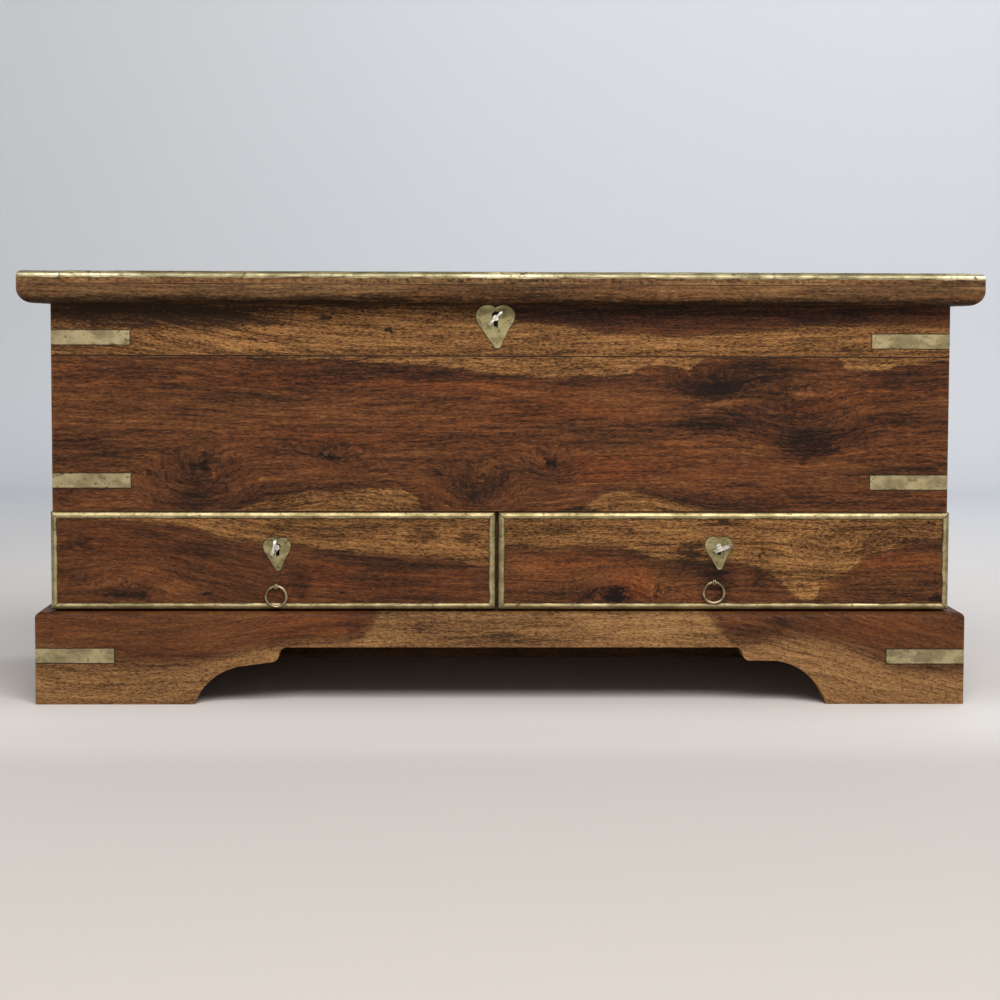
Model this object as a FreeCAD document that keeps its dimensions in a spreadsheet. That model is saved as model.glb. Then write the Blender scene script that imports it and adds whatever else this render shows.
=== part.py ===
import math
import os

import FreeCAD
import Part
import Sketcher
from FreeCAD import Rotation, Vector

# A damchiya chest: a low rosewood chest on a bracket plinth, with two drawers under a lidded
# compartment, brass-edged drawers and lid, brass corner straps and heart-shaped lock plates.
# Frame: X to the viewer's right, Y to the back, Z up, origin on the floor under the middle.

# Driving dimensions in millimetres, angles in degrees; names that end in share are ratios
DRIVING_SIZES = {
    # lid
    "lid_width": 1200,
    "lid_depth": 490,
    "chest_height": 541.7,
    "lid_board_thick": 15.5,
    "lid_front_board_share": 0.52,
    "lid_overhang": 36.3,
    "lid_moulding_height": 24.6,
    "lid_moulding_gap": 1.0,
    "lid_top_round": 7,
    "lid_under_round": 18,
    "lid_brass_thick": 1.0,
    "lid_brass_drop": 8,
    "lid_brass_lap": 15,
    "batten_width": 45,
    "batten_thick": 16,
    "batten_place_share": 0.55,
    "batten_front_gap": 14,
    # case
    "wall_thick": 20,
    "upper_board_height": 89.2,
    "back_board_share": 0.5,
    "tier_height": 126,
    "floor_thick": 14,
    "divider_thick": 20,
    "divider_place": -6.1,
    # plinth
    "plinth_height": 116,
    "plinth_overhang": 20.1,
    "plinth_thick": 40,
    "plinth_round": 7,
    "foot_left": 198.5,
    "foot_right": 174,
    "foot_side": 92,
    "arch_height": 72,
    "shelf_left": 51,
    "shelf_right": 55,
    "shelf_left_tilt": 4.4,
    "arch_bow": 64,
    "arch_shelf": 33,
    "arch_step": 18,
    "arch_bow_share": 0.64,
    "arch_step_share": 0.55,
    "corner_block": 34,
    "corner_block_height": 44,
    # brass corner straps
    "strap_height": 19.4,
    "strap_length": 99,
    "strap_thick": 1.2,
    "strap_upper_left_drop": 76.6,
    "strap_upper_right_drop": 79,
    "strap_lower_left_rise": 28.5,
    "strap_lower_right_rise": 27.3,
    "strap_plinth_left_rise": 51.8,
    "strap_plinth_right_rise": 50.8,
    # hinges
    "knuckle_radius": 5,
    "hinge_length": 75,
    "hinge_place_share": 0.62,
    "leaf_thick": 2,
    "leaf_width": 18,
    "leaf_gap": 0.3,
    "knuckle_gap": 0.2,
    "pin_radius": 2,
    "pin_fit": 0.05,
    # drawers
    "drawer_proud": 6,
    "drawer_front_thick": 21,
    "drawer_seat_gap": 0.3,
    "drawer_gap_above": 0.8,
    "drawer_gap_below": 2.4,
    "drawer_gap_middle": 3.8,
    "drawer_side_lap": 1.5,
    "drawer_board_thick": 12,
    "drawer_base_thick": 8,
    "drawer_base_rise": 6,
    "drawer_groove": 6,
    "drawer_back_gap": 18.7,
    "drawer_box_height": 98,
    "drawer_side_gap": 1.0,
    "drawer_run_gap": 0.3,
    "tail_front_length": 10,
    "tail_root_share": 0.46,
    "tail_tip_share": 0.68,
    "trim_width": 8,
    "trim_sunk": 4.4,
    "trim_proud": 0.8,
    "trim_round": 3.2,
    # ring pulls
    "ring_radius": 12.9,
    "ring_wire_radius": 1.9,
    "eye_radius": 3.7,
    "eye_wire_radius": 1.2,
    "eye_wire_apart": 1.1,
    "eye_stand": 5.1,
    "ring_hang_gap": 0.4,
    "staple_radius": 1.6,
    "staple_fit": 0.05,
    "clench_radius": 0.9,
    "clench_length": 5.5,
    "left_ring_offset": 3.3,
    "right_ring_offset": -12.7,
    "left_ring_rise": 30,
    "right_ring_rise": 35.1,
    # lock plates
    "plate_thick": 1.2,
    "lid_plate_width": 49.5,
    "lid_plate_height": 54.3,
    "lid_plate_above_key": 16.3,
    "drawer_plate_width": 34.8,
    "drawer_plate_height": 42,
    "drawer_plate_above_key": 12.2,
    "plate_lobe_share": 0.31,
    "plate_notch_share": 0.065,
    "plate_shoulder_share": 0.22,
    "plate_waist_share": 0.55,
    "plate_waist_width_share": 0.69,
    "plate_side_share": 0.62,
    "plate_tip_share": 0.09,
    "plate_tip_lean": 0.045,
    # locks and keys
    "lid_key_place": -8.5,
    "lid_key_drop": 41.3,
    "left_key_offset": 4.3,
    "right_key_offset": -6.9,
    "left_key_drop": 44.2,
    "right_key_drop": 42.5,
    "lid_key_turn": 45,
    "left_key_turn": 13,
    "right_key_turn": 69,
    "lock_depth": 12,
    "lock_wall": 1.5,
    "lid_lock_width": 70,
    "lid_lock_foot": 20,
    "drawer_lock_width": 56,
    "drawer_lock_foot": 14,
    "lid_keyhole_radius": 4.8,
    "lid_keyhole_shift": 0.4,
    "lid_keyhole_rise": 3.4,
    "lid_keyhole_slot": 5,
    "lid_keyhole_foot": 11,
    "drawer_keyhole_radius": 3.6,
    "drawer_keyhole_shift": 0.9,
    "left_keyhole_rise": 0.8,
    "right_keyhole_rise": -0.8,
    "drawer_keyhole_slot": 4.2,
    "drawer_keyhole_foot": 10.8,
    "shank_radius": 2.2,
    "shank_fit": 0.08,
    "shank_end": 0.5,
    "collar_radius": 3.6,
    "collar_length": 2.6,
    "collar_gap": 1.2,
    "bow_length": 18.5,
    "bow_thick": 2.8,
    "bow_bar": 3.2,
    "lid_bow_width": 30,
    "left_bow_width": 27,
    "right_bow_width": 27.5,
    "left_bow_shift": -3,
    "left_bow_slide": 0,
    "right_bow_shift": 3,
    "right_bow_slide": 3.5,
    "bit_drop": 7.4,
    "bit_thick": 2.2,
    "bit_front_gap": 1.5,
    "bit_back_gap": 1.2,
    # lock bolts and the lid's link plate
    "bolt_thick": 5,
    "bolt_gap": 0.3,
    "bolt_slot_gap": 0.5,
    "drawer_bolt_width": 22,
    "drawer_bolt_lift": 9,
    "drawer_bolt_throw": 7,
    "drawer_bolt_sunk": 0.3,
    "drawer_mortise_spare": 2,
    "lid_bolt_lift": 9,
    "lid_bolt_height": 11,
    "lid_bolt_throw": 8,
    "lid_bolt_tail": 20,
    "riser_width": 4.5,
    "finger_thick": 2.8,
    "finger_clear": 0.6,
    "finger_gap": 0.8,
    "link_width": 62,
    "link_depth": 13,
    "link_thick": 2,
    "hook_place": 12,
    "hook_thick": 3,
    "hook_drop": 18.2,
    "hook_foot": 3,
    "hook_leg": 1.6,
    "hook_window": 7.4,
    "hook_slot_gap": 0.8,
    # how far a cut runs past the piece that it cuts
    "overrun": 2,
}

TAILS = 3
KNUCKLES = 5
SIDES = ("left", "right")

DOCUMENT = FreeCAD.newDocument("damchiya_chest")
SHEET = DOCUMENT.addObject("Spreadsheet::Sheet", "Sizes")
NODES = {}


class Size:
    """A length, angle or share: its number now, and the sheet formula that it follows."""

    def __init__(self, number, formula):
        self.number = number
        self.formula = formula

    def __add__(self, other):
        other = as_size(other)
        return Size(self.number + other.number, f"({self.formula} + {other.formula})")

    def __sub__(self, other):
        other = as_size(other)
        return Size(self.number - other.number, f"({self.formula} - {other.formula})")

    def __mul__(self, other):
        other = as_size(other)
        return Size(self.number * other.number, f"({self.formula} * {other.formula})")

    def __truediv__(self, other):
        other = as_size(other)
        return Size(self.number / other.number, f"({self.formula} / {other.formula})")

    def __neg__(self):
        return self * -1


def as_size(value):
    """A plain number as a Size, and a Size as it is."""
    if isinstance(value, Size):
        return value
    return Size(value, f"({value})")


def fill_sheet():
    """Write each driving size to the sheet under its own name, and return them as Sizes."""
    sizes = {}
    for row, (name, number) in enumerate(DRIVING_SIZES.items(), start=1):
        SHEET.set(f"A{row}", name)
        SHEET.set(f"B{row}", str(number))
        SHEET.setAlias(f"B{row}", name)
        sizes[name] = Size(number, f"Sizes.{name}")
    DOCUMENT.recompute()
    return sizes


size = fill_sheet()
ZERO = as_size(0)

# Places shared by several pieces, worked out from the driving sizes
lid_half = size["lid_width"] / 2
case_half = lid_half - size["lid_overhang"]
case_inside = case_half - size["wall_thick"]
plinth_half = case_half + size["plinth_overhang"]
lid_front = -(size["lid_depth"] + size["knuckle_radius"] * 2) / 2
lid_back = lid_front + size["lid_depth"]
hinge_axis = lid_back + size["knuckle_radius"]
case_front = lid_front + size["lid_overhang"]
case_front_inside = case_front + size["wall_thick"]
case_back_inside = lid_back - size["wall_thick"]
plinth_front = case_front - size["plinth_overhang"]
rim = size["chest_height"] - size["lid_board_thick"]
front_joint = rim - size["upper_board_height"]
tier_bottom = size["plinth_height"] + size["floor_thick"]
tier_top = size["plinth_height"] + size["tier_height"]
drawer_face = case_front - size["drawer_proud"]
drawer_front_back = drawer_face + size["drawer_front_thick"]
tier_front = drawer_front_back + size["drawer_seat_gap"]
drawer_low = size["plinth_height"] + size["drawer_gap_below"]
drawer_high = tier_top - size["drawer_gap_above"]
divider_low = size["divider_place"] - size["divider_thick"] / 2
divider_high = size["divider_place"] + size["divider_thick"] / 2
hinge_middle = case_half * size["hinge_place_share"]
hinge_low = hinge_middle - size["hinge_length"] / 2
hinge_high = hinge_middle + size["hinge_length"] / 2
lid_key_height = rim - size["lid_key_drop"]


# Helpers that make the document's objects

def bind(thing, field, formula):
    """Tie one field of an object to the sheet."""
    thing.setExpression(field, formula.formula)


def keep(label, thing):
    """Name a finished sub-part; the name is also its file's name."""
    thing.Label = label
    NODES[label] = thing
    return thing


def box(name, across, deep, up):
    """A plain board; each argument is its (low, high) along X, Y or Z."""
    block = DOCUMENT.addObject("Part::Box", name)
    fields = zip(("Length", "Width", "Height"), ("x", "y", "z"), (across, deep, up))
    for field, place, (low, high) in fields:
        bind(block, field, high - low)
        bind(block, f"Placement.Base.{place}", low)
    return block


def rod(name, axis, start, length, radius):
    """A round rod from its start point, (x, y, z), along one axis."""
    bar = DOCUMENT.addObject("Part::Cylinder", name)
    turns = {"X": Rotation(Vector(0, 1, 0), 90), "Y": Rotation(Vector(1, 0, 0), -90),
             "Z": Rotation()}
    bar.Placement.Rotation = turns[axis]
    bind(bar, "Radius", radius)
    bind(bar, "Height", length)
    for place, value in zip("xyz", start):
        bind(bar, f"Placement.Base.{place}", value)
    return bar


def loop_of_wire(name, turn, centre, radius, wire_radius):
    """A closed ring of round wire about its centre, (x, y, z)."""
    ring = DOCUMENT.addObject("Part::Torus", name)
    ring.Placement.Rotation = turn
    bind(ring, "Radius1", radius)
    bind(ring, "Radius2", wire_radius)
    for place, value in zip("xyz", centre):
        bind(ring, f"Placement.Base.{place}", value)
    return ring


def group(name, things):
    """Several solids kept as one sub-part."""
    compound = DOCUMENT.addObject("Part::Compound", name)
    compound.Links = things
    return compound


def mirror(name, thing):
    """The same piece on the other side of the middle."""
    twin = DOCUMENT.addObject("Part::Mirroring", name)
    twin.Source = thing
    twin.Normal = Vector(1, 0, 0)
    return twin


def cut(name, base, tools):
    """A piece with other solids taken out of it."""
    trimmed = DOCUMENT.addObject("Part::Cut", name)
    trimmed.Base = base
    trimmed.Tool = group(f"{name}_cuts", tools)
    return trimmed


def fuse(name, things):
    """Several solids joined into one."""
    joined = DOCUMENT.addObject("Part::MultiFuse", name)
    joined.Shapes = things
    joined.Refine = True
    return joined


def new_body(name):
    """An empty body for sketched features."""
    return DOCUMENT.addObject("PartDesign::Body", name)


def rectangle(low_across, high_across, low_up, high_up):
    """The four corners of a rectangle in a sketch."""
    return [(low_across, low_up), (high_across, low_up),
            (high_across, high_up), (low_across, high_up)]


def circle(across, up, radius):
    """A round outline in a sketch."""
    return {"centre": (across, up), "radius": radius}


def fix_point(drawing, edge, point, across, up):
    """Hold one point of a sketch at its place by two constraints tied to the sheet."""
    for kind, value in (("DistanceX", across), ("DistanceY", up)):
        index = drawing.addConstraint(
            Sketcher.Constraint(kind, -1, 1, edge, point, value.number))
        bind(drawing, f"Constraints[{index}]", value)


def fix_radius(drawing, edge, radius):
    """Hold the radius of an arc or circle by a constraint tied to the sheet."""
    index = drawing.addConstraint(Sketcher.Constraint("Radius", edge, radius.number))
    bind(drawing, f"Constraints[{index}]", radius)


def arc_between(start, end, radius):
    """The short arc between two points: a positive radius turns left on the way, a negative right."""
    chord = end - start
    middle = (start + end) / 2
    left = Vector(-chord.y, chord.x, 0).normalize()
    height = math.sqrt(max(radius * radius - chord.Length * chord.Length / 4, 0))
    centre = middle + left * (height if radius > 0 else -height)
    first, last = (start, end) if radius > 0 else (end, start)
    angles = [math.atan2(point.y - centre.y, point.x - centre.x) for point in (first, last)]
    if angles[1] < angles[0]:
        angles[1] += 2 * math.pi
    return Part.ArcOfCircle(Part.Circle(centre, Vector(0, 0, 1), abs(radius)), *angles)


def draw_loop(drawing, corners):
    """Close a loop through corners (across, up) or (across, up, radius of the arc that arrives)."""
    points = [Vector(corner[0].number, corner[1].number, 0) for corner in corners]
    ends = []
    for index, corner in enumerate(corners):
        start, end = points[index - 1], points[index]
        if len(corner) == 2:
            edge = drawing.addGeometry(Part.LineSegment(start, end), False)
            ends.append((edge, 1, 2))
            continue
        radius = corner[2]
        edge = drawing.addGeometry(arc_between(start, end, radius.number), False)
        ends.append((edge, 1, 2) if radius.number > 0 else (edge, 2, 1))
        fix_radius(drawing, edge, radius if radius.number > 0 else -radius)
    for index, corner in enumerate(corners):
        edge, _, leaving = ends[index]
        following, arriving, _ = ends[(index + 1) % len(ends)]
        drawing.addConstraint(
            Sketcher.Constraint("Coincident", edge, leaving, following, arriving))
        fix_point(drawing, edge, leaving, corner[0], corner[1])


def draw(body, plane, place, outlines):
    """A sketch on one of the body's origin planes, moved along its normal to place."""
    drawing = body.newObject("Sketcher::SketchObject", "Outline")
    planes = [item for item in body.Origin.OriginFeatures if item.Role == plane]
    drawing.AttachmentSupport = [(planes[0], "")]
    drawing.MapMode = "FlatFace"
    bind(drawing, "AttachmentOffset.Base.z", -place if plane == "XZ_Plane" else place)
    for outline in outlines:
        if isinstance(outline, dict):
            across, up = outline["centre"]
            radius = outline["radius"]
            middle = Vector(across.number, up.number, 0)
            round_edge = Part.Circle(middle, Vector(0, 0, 1), radius.number)
            edge = drawing.addGeometry(round_edge, False)
            fix_radius(drawing, edge, radius)
            fix_point(drawing, edge, 3, across, up)
        else:
            draw_loop(drawing, outline)
    return drawing


def pad(body, plane, low, high, *outlines):
    """Add material over outlines between two places along the plane's normal axis."""
    drawing = draw(body, plane, low, outlines)
    feature = body.newObject("PartDesign::Pad", "Pad")
    feature.Profile = drawing
    feature.Reversed = plane == "XZ_Plane"
    bind(feature, "Length", high - low)
    DOCUMENT.recompute()


def pocket(body, plane, low, high, *outlines):
    """Take material away over outlines between two places along the plane's normal axis."""
    before = body.Shape.Volume
    drawing = draw(body, plane, low, outlines)
    feature = body.newObject("PartDesign::Pocket", "Pocket")
    feature.Profile = drawing
    feature.Reversed = plane != "XZ_Plane"
    bind(feature, "Length", high - low)
    DOCUMENT.recompute()
    if not body.Shape.Volume < before:
        raise ValueError(f"a pocket of {body.Name} cuts nothing")


# Plinth: four mitred boards, the front and sides with a rounded top edge and arched into feet

def arch_outline(low, high, shelf_low, shelf_high, tilt_low=ZERO):
    """The arch between two feet: a bow up to a short shelf, then a small step to the apron."""
    bow = size["arch_bow"]
    step = size["arch_step"]
    top = size["arch_height"]
    corners = [(low, -size["overrun"]), (low, ZERO)]
    for side, foot, shelf, tilt in ((1, low, shelf_low, tilt_low), (-1, high, shelf_high, ZERO)):
        start_up = shelf - tilt / 2
        end_up = shelf + tilt / 2
        rise = top - end_up
        bow_radius = -(bow + shelf) * size["arch_bow_share"]
        step_radius = (step + rise) / 2 * size["arch_step_share"]
        shelf_start = foot + bow * side
        shelf_end = shelf_start + size["arch_shelf"] * side
        step_middle = (shelf_end + step / 2 * side, end_up + rise / 2)
        step_end = shelf_end + step * side
        if side > 0:
            corners += [(shelf_start, start_up, bow_radius), (shelf_end, end_up),
                        step_middle + (step_radius,), (step_end, top, -step_radius)]
        else:
            corners += [(step_end, top), step_middle + (-step_radius,),
                        (shelf_end, end_up, step_radius), (shelf_start, start_up),
                        (foot, ZERO, bow_radius), (foot, -size["overrun"])]
    return corners


def plinth_profile(outside, inside):
    """Upright board section with its outer top edge rounded; outside is lower along Y or X."""
    top = size["plinth_height"]
    rounding = size["plinth_round"]
    if outside.number < inside.number:
        return [(outside, ZERO), (inside, ZERO), (inside, top), (outside + rounding, top),
                (outside, top - rounding, rounding)]
    return [(outside, ZERO), (outside, top - rounding), (outside - rounding, top, rounding),
            (inside, top), (inside, ZERO)]


def make_plinth():
    """The four boards, the glue blocks behind their mitres and the two brass straps."""
    thick = size["plinth_thick"]
    over = size["overrun"]
    straps = {side: plinth_strap(side) for side in SIDES}

    front = new_body("plinth_front_blank")
    front_inside = plinth_front + thick
    pad(front, "YZ_Plane", -plinth_half, plinth_half, plinth_profile(plinth_front, front_inside))
    pocket(front, "XZ_Plane", plinth_front - over, front_inside + over,
           arch_outline(size["foot_left"] - plinth_half, plinth_half - size["foot_right"],
                        size["shelf_left"], size["shelf_right"], size["shelf_left_tilt"]))
    inner_half = plinth_half - thick
    pocket(front, "XY_Plane", -over, size["plinth_height"] + over,
           [(-plinth_half, plinth_front), (-inner_half, front_inside), (-plinth_half, front_inside)],
           [(plinth_half, plinth_front), (plinth_half, front_inside), (inner_half, front_inside)])
    keep("plinth_front", cut("plinth_front_cut", front, list(straps.values())))

    back = new_body("plinth_back_body")
    back_inside = lid_back - thick
    pad(back, "XZ_Plane", back_inside, lid_back,
        rectangle(-plinth_half, plinth_half, ZERO, size["plinth_height"]))
    pocket(back, "XY_Plane", -over, size["plinth_height"] + over,
           [(-plinth_half, lid_back), (-plinth_half, back_inside), (-inner_half, back_inside)],
           [(plinth_half, lid_back), (inner_half, back_inside), (plinth_half, back_inside)])
    keep("plinth_back", back)

    for side, sign in (("left", -1), ("right", 1)):
        board = new_body(f"plinth_{side}_blank")
        outside = plinth_half * sign
        inside = inner_half * sign
        pad(board, "XZ_Plane", plinth_front, lid_back, plinth_profile(outside, inside))
        low, high = (outside, inside) if sign < 0 else (inside, outside)
        pocket(board, "YZ_Plane", low - over, high + over,
               arch_outline(plinth_front + size["foot_side"], lid_back - size["foot_side"],
                            size["shelf_left"], size["shelf_left"]))
        pocket(board, "XY_Plane", -over, size["plinth_height"] + over,
               [(outside, plinth_front), (inside, plinth_front), (inside, front_inside)],
               [(outside, lid_back), (inside, lid_back), (inside, back_inside)])
        keep(f"plinth_{side}", cut(f"plinth_{side}_cut", board, [straps[side]]))

    keep("plinth_straps", group("plinth_straps_group", list(straps.values())))
    make_corner_blocks(inner_half, front_inside, back_inside)


def make_corner_blocks(inner_half, front_inside, back_inside):
    """Four glue blocks inside the plinth, under the case floor."""
    wide = size["corner_block"]
    up = (size["plinth_height"] - size["corner_block_height"], size["plinth_height"])
    blocks = []
    for across in ((-inner_half, wide - inner_half), (inner_half - wide, inner_half)):
        for deep in ((front_inside, front_inside + wide), (back_inside - wide, back_inside)):
            blocks.append(box("corner_block", across, deep, up))
    keep("plinth_corner_blocks", group("corner_blocks_group", blocks))


# Brass corner straps: each bends round a front corner and lies flush in the wood

def strap(name, side, half, front, low):
    """One L-shaped strap round the corner at half the width, its lower edge at low."""
    body = new_body(name)
    sign = -1 if side == "left" else 1
    outside = half * sign
    inside = outside - size["strap_thick"] * sign
    end = outside - size["strap_length"] * sign
    front_leg = front + size["strap_thick"]
    side_end = front + size["strap_length"]
    corners = [(outside, front), (outside, side_end), (inside, side_end), (inside, front_leg),
               (end, front_leg), (end, front)]
    pad(body, "XY_Plane", low, low + size["strap_height"], corners)
    return body


def plinth_strap(side):
    """The strap round a front corner of the plinth."""
    low = size[f"strap_plinth_{side}_rise"]
    return strap(f"plinth_strap_{side}", side, plinth_half, plinth_front, low)


def case_straps(level):
    """The left and right straps round the case's front corners, upper or lower."""
    straps = []
    for side in SIDES:
        if level == "upper":
            low = rim - size[f"strap_upper_{side}_drop"]
        else:
            low = tier_top + size[f"strap_lower_{side}_rise"]
        straps.append(strap(f"case_strap_{level}_{side}", side, case_half, case_front, low))
    keep(f"corner_straps_{level}", group(f"straps_{level}_group", straps))
    return straps


# Case: solid boards, open at the top, with a tier for the drawers under the chest floor

def lock_recess(body, middle, width, low, high, back):
    """The recess in a board's back face that takes a lock case."""
    pocket(body, "XZ_Plane", back - size["lock_depth"], back,
           rectangle(middle - width / 2, middle + width / 2, low, high))


def keyhole(body, lock, middle, height, low, high):
    """A round hole with a slot under it, from low to high along Y; the lock is lid, left or right."""
    kind = "lid" if lock == "lid" else "drawer"
    slot = size[f"{kind}_keyhole_slot"] / 2
    across = middle + size[f"{kind}_keyhole_shift"]
    pocket(body, "XZ_Plane", low, high,
           circle(across, height + size[f"{lock}_keyhole_rise"], size[f"{kind}_keyhole_radius"]))
    pocket(body, "XZ_Plane", low, high,
           rectangle(across - slot, across + slot, height - size[f"{kind}_keyhole_foot"], height))


def drawer_key_places(side):
    """Where a drawer's key sits: across, and its height."""
    low, high = drawer_front_span(side)
    middle = (low + high) / 2
    return middle + size[f"{side}_key_offset"], drawer_high - size[f"{side}_key_drop"]


def bolt_span(back):
    """The front and back of a lock bolt, from the back face of the board that holds the lock."""
    bolt_back = back - size["lock_wall"] - size["bolt_gap"]
    return bolt_back - size["bolt_thick"], bolt_back


def make_case():
    """Sides, front and back boards, the two floors and the divider."""
    upper = case_straps("upper")
    lower = case_straps("lower")
    over = size["overrun"]

    for index, side in enumerate(SIDES):
        across = (-case_half, -case_inside) if side == "left" else (case_inside, case_half)
        body = new_body(f"side_{side}_blank")
        pad(body, "YZ_Plane", across[0], across[1],
            [(tier_front, size["plinth_height"]), (lid_back, size["plinth_height"]),
             (lid_back, rim), (case_front_inside, rim), (case_front_inside, tier_top),
             (tier_front, tier_top)])
        keep(f"side_{side}", cut(f"side_{side}_cut", body, [upper[index], lower[index]]))

    top_board = new_body("front_board_upper_blank")
    pad(top_board, "XZ_Plane", case_front, case_front_inside,
        rectangle(-case_half, case_half, front_joint, rim))
    lock_low = lid_key_height - size["lid_lock_foot"]
    lock_recess(top_board, size["lid_key_place"], size["lid_lock_width"], lock_low, rim,
                case_front_inside)
    keyhole(top_board, "lid", size["lid_key_place"], lid_key_height, case_front - over,
            case_front_inside)
    keep("front_board_upper", cut("front_board_upper_cut", top_board, upper))

    low_board = new_body("front_board_lower_blank")
    pad(low_board, "XZ_Plane", case_front, case_front_inside,
        rectangle(-case_half, case_half, tier_top, front_joint))
    bolt_front, bolt_back = bolt_span(drawer_front_back)
    half = size["drawer_bolt_width"] / 2 + size["bolt_slot_gap"]
    depth = size["drawer_bolt_throw"] + size["drawer_mortise_spare"]
    for side in SIDES:
        middle, _ = drawer_key_places(side)
        pocket(low_board, "XY_Plane", tier_top, tier_top + depth,
               rectangle(middle - half, middle + half, bolt_front - size["bolt_slot_gap"],
                         bolt_back + size["bolt_slot_gap"]))
    keep("front_board_lower", cut("front_board_lower_cut", low_board, lower))

    back_height = rim - size["plinth_height"]
    back_joint = size["plinth_height"] + back_height * size["back_board_share"]
    inside = (-case_inside, case_inside)
    behind = (case_back_inside, lid_back)
    keep("back_board_lower", box("back_lower", inside, behind, (size["plinth_height"], back_joint)))
    top_back = new_body("back_board_upper_body")
    pad(top_back, "XZ_Plane", case_back_inside, lid_back,
        rectangle(-case_inside, case_inside, back_joint, rim))
    leaf_front = lid_back - size["leaf_width"]
    pocket(top_back, "XY_Plane", rim - size["leaf_thick"], rim,
           rectangle(-hinge_high, -hinge_low, leaf_front, lid_back),
           rectangle(hinge_low, hinge_high, leaf_front, lid_back))
    keep("back_board_upper", top_back)

    floor_up = (size["plinth_height"], tier_bottom)
    keep("case_floor", box("floor_board", inside, (tier_front, case_back_inside), floor_up))
    chest_up = (tier_top, tier_top + size["floor_thick"])
    keep("chest_floor", box("chest_board", inside, (case_front_inside, case_back_inside), chest_up))
    keep("drawer_divider", box("divider_board", (divider_low, divider_high),
                               (tier_front, case_back_inside), (tier_bottom, tier_top)))


# Lid: two boards over a mitred lip, brass over the top edge, cleats and link plate below

def lid_edge_waste(outside, sign):
    """What the brass strip and the rounding take off a board's edge; sign points inwards."""
    thick = size["lid_brass_thick"]
    top = size["chest_height"]
    over = size["overrun"]
    rounding = size["lid_top_round"]
    skin = outside + thick * sign
    lap = outside + size["lid_brass_lap"] * sign
    drop = top - size["lid_brass_drop"]
    bend = (rounding - thick) * -sign
    return [(outside - over * sign, drop), (skin, drop), (skin, top - rounding),
            (outside + rounding * sign, top - thick, bend), (lap, top - thick),
            (lap, top + over), (outside - over * sign, top + over)]


def lid_brass_outline(outside, sign):
    """Section of the brass strip: down the edge, round the corner and over the top."""
    thick = size["lid_brass_thick"]
    top = size["chest_height"]
    rounding = size["lid_top_round"]
    skin = outside + thick * sign
    lap = outside + size["lid_brass_lap"] * sign
    turn = outside + rounding * sign
    drop = top - size["lid_brass_drop"]
    return [(outside, drop), (skin, drop), (skin, top - rounding),
            (turn, top - thick, (rounding - thick) * -sign), (lap, top - thick), (lap, top),
            (turn, top), (outside, top - rounding, rounding * sign)]


def lip_outline(outside, inside, sign):
    """Section of the lip under the overhang, its lower outer edge rounded."""
    low = rim - size["lid_moulding_height"]
    rounding = size["lid_under_round"]
    return [(outside, rim), (outside, low + rounding),
            (outside + rounding * sign, low, rounding * sign), (inside, low), (inside, rim)]


def lid_strip(name, outline, inward, low, high):
    """Three mitred strips round the lid's front and ends, with the same section."""
    over = size["overrun"]
    front = new_body(f"{name}_front_body")
    pad(front, "YZ_Plane", -lid_half, lid_half, outline(lid_front, 1))
    deep = lid_front + inward
    run = lid_half - inward
    pocket(front, "XY_Plane", low - over, high + over,
           [(-lid_half, lid_front), (-run, deep), (-lid_half, deep)],
           [(lid_half, lid_front), (lid_half, deep), (run, deep)])
    keep(f"{name}_front", front)
    for side, sign in (("left", 1), ("right", -1)):
        outside = lid_half * -sign
        inside = run * -sign
        strip = new_body(f"{name}_{side}_body")
        pad(strip, "XZ_Plane", lid_front, lid_back, outline(outside, sign))
        pocket(strip, "XY_Plane", low - over, high + over,
               [(outside, lid_front), (inside, lid_front), (inside, deep)])
        keep(f"{name}_{side}", strip)


def make_lid():
    """The boards, the lip, the brass edge, the cleats, and the link plate."""
    joint = lid_front + size["lid_depth"] * size["lid_front_board_share"]
    over = size["overrun"]
    top = size["chest_height"]
    spans = {"front": (lid_front, joint), "back": (joint, lid_back)}
    for name, (low, high) in spans.items():
        board = new_body(f"lid_board_{name}_body")
        pad(board, "XY_Plane", rim, top, rectangle(-lid_half, lid_half, low, high))
        pocket(board, "XZ_Plane", low - over, high + over,
               lid_edge_waste(-lid_half, 1), lid_edge_waste(lid_half, -1))
        if name == "front":
            pocket(board, "YZ_Plane", -lid_half - over, lid_half + over,
                   lid_edge_waste(lid_front, 1))
            pocket(board, "XY_Plane", rim, rim + size["link_thick"], link_rectangle())
        else:
            leaf_front = lid_back - size["leaf_width"]
            pocket(board, "XY_Plane", rim, rim + size["leaf_thick"],
                   rectangle(-hinge_high, -hinge_low, leaf_front, lid_back),
                   rectangle(hinge_low, hinge_high, leaf_front, lid_back))
        keep(f"lid_board_{name}", board)

    lip_width = size["lid_overhang"] - size["lid_moulding_gap"]
    lid_strip("lid_moulding", lambda outside, sign: lip_outline(
        outside, outside + lip_width * sign, sign), lip_width,
        rim - size["lid_moulding_height"], rim)
    lid_strip("lid_brass", lid_brass_outline, size["lid_brass_lap"],
              top - size["lid_brass_drop"], top)

    batten_middle = case_inside * size["batten_place_share"]
    half = size["batten_width"] / 2
    front = case_front_inside + size["batten_front_gap"]
    back = case_back_inside - size["batten_front_gap"]
    batten = box("batten", (batten_middle - half, batten_middle + half), (front, back),
                 (rim - size["batten_thick"], rim))
    keep("lid_battens", group("battens_group", [batten, mirror("batten_twin", batten)]))
    make_link_plate()


def hook_span():
    """The front and back of the link plate's hooks, round the bolt's fingers."""
    bolt_front, _ = bolt_span(case_front_inside)
    reach = size["finger_clear"] + size["hook_leg"]
    return bolt_front - reach, bolt_front + size["finger_thick"] + reach


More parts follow.
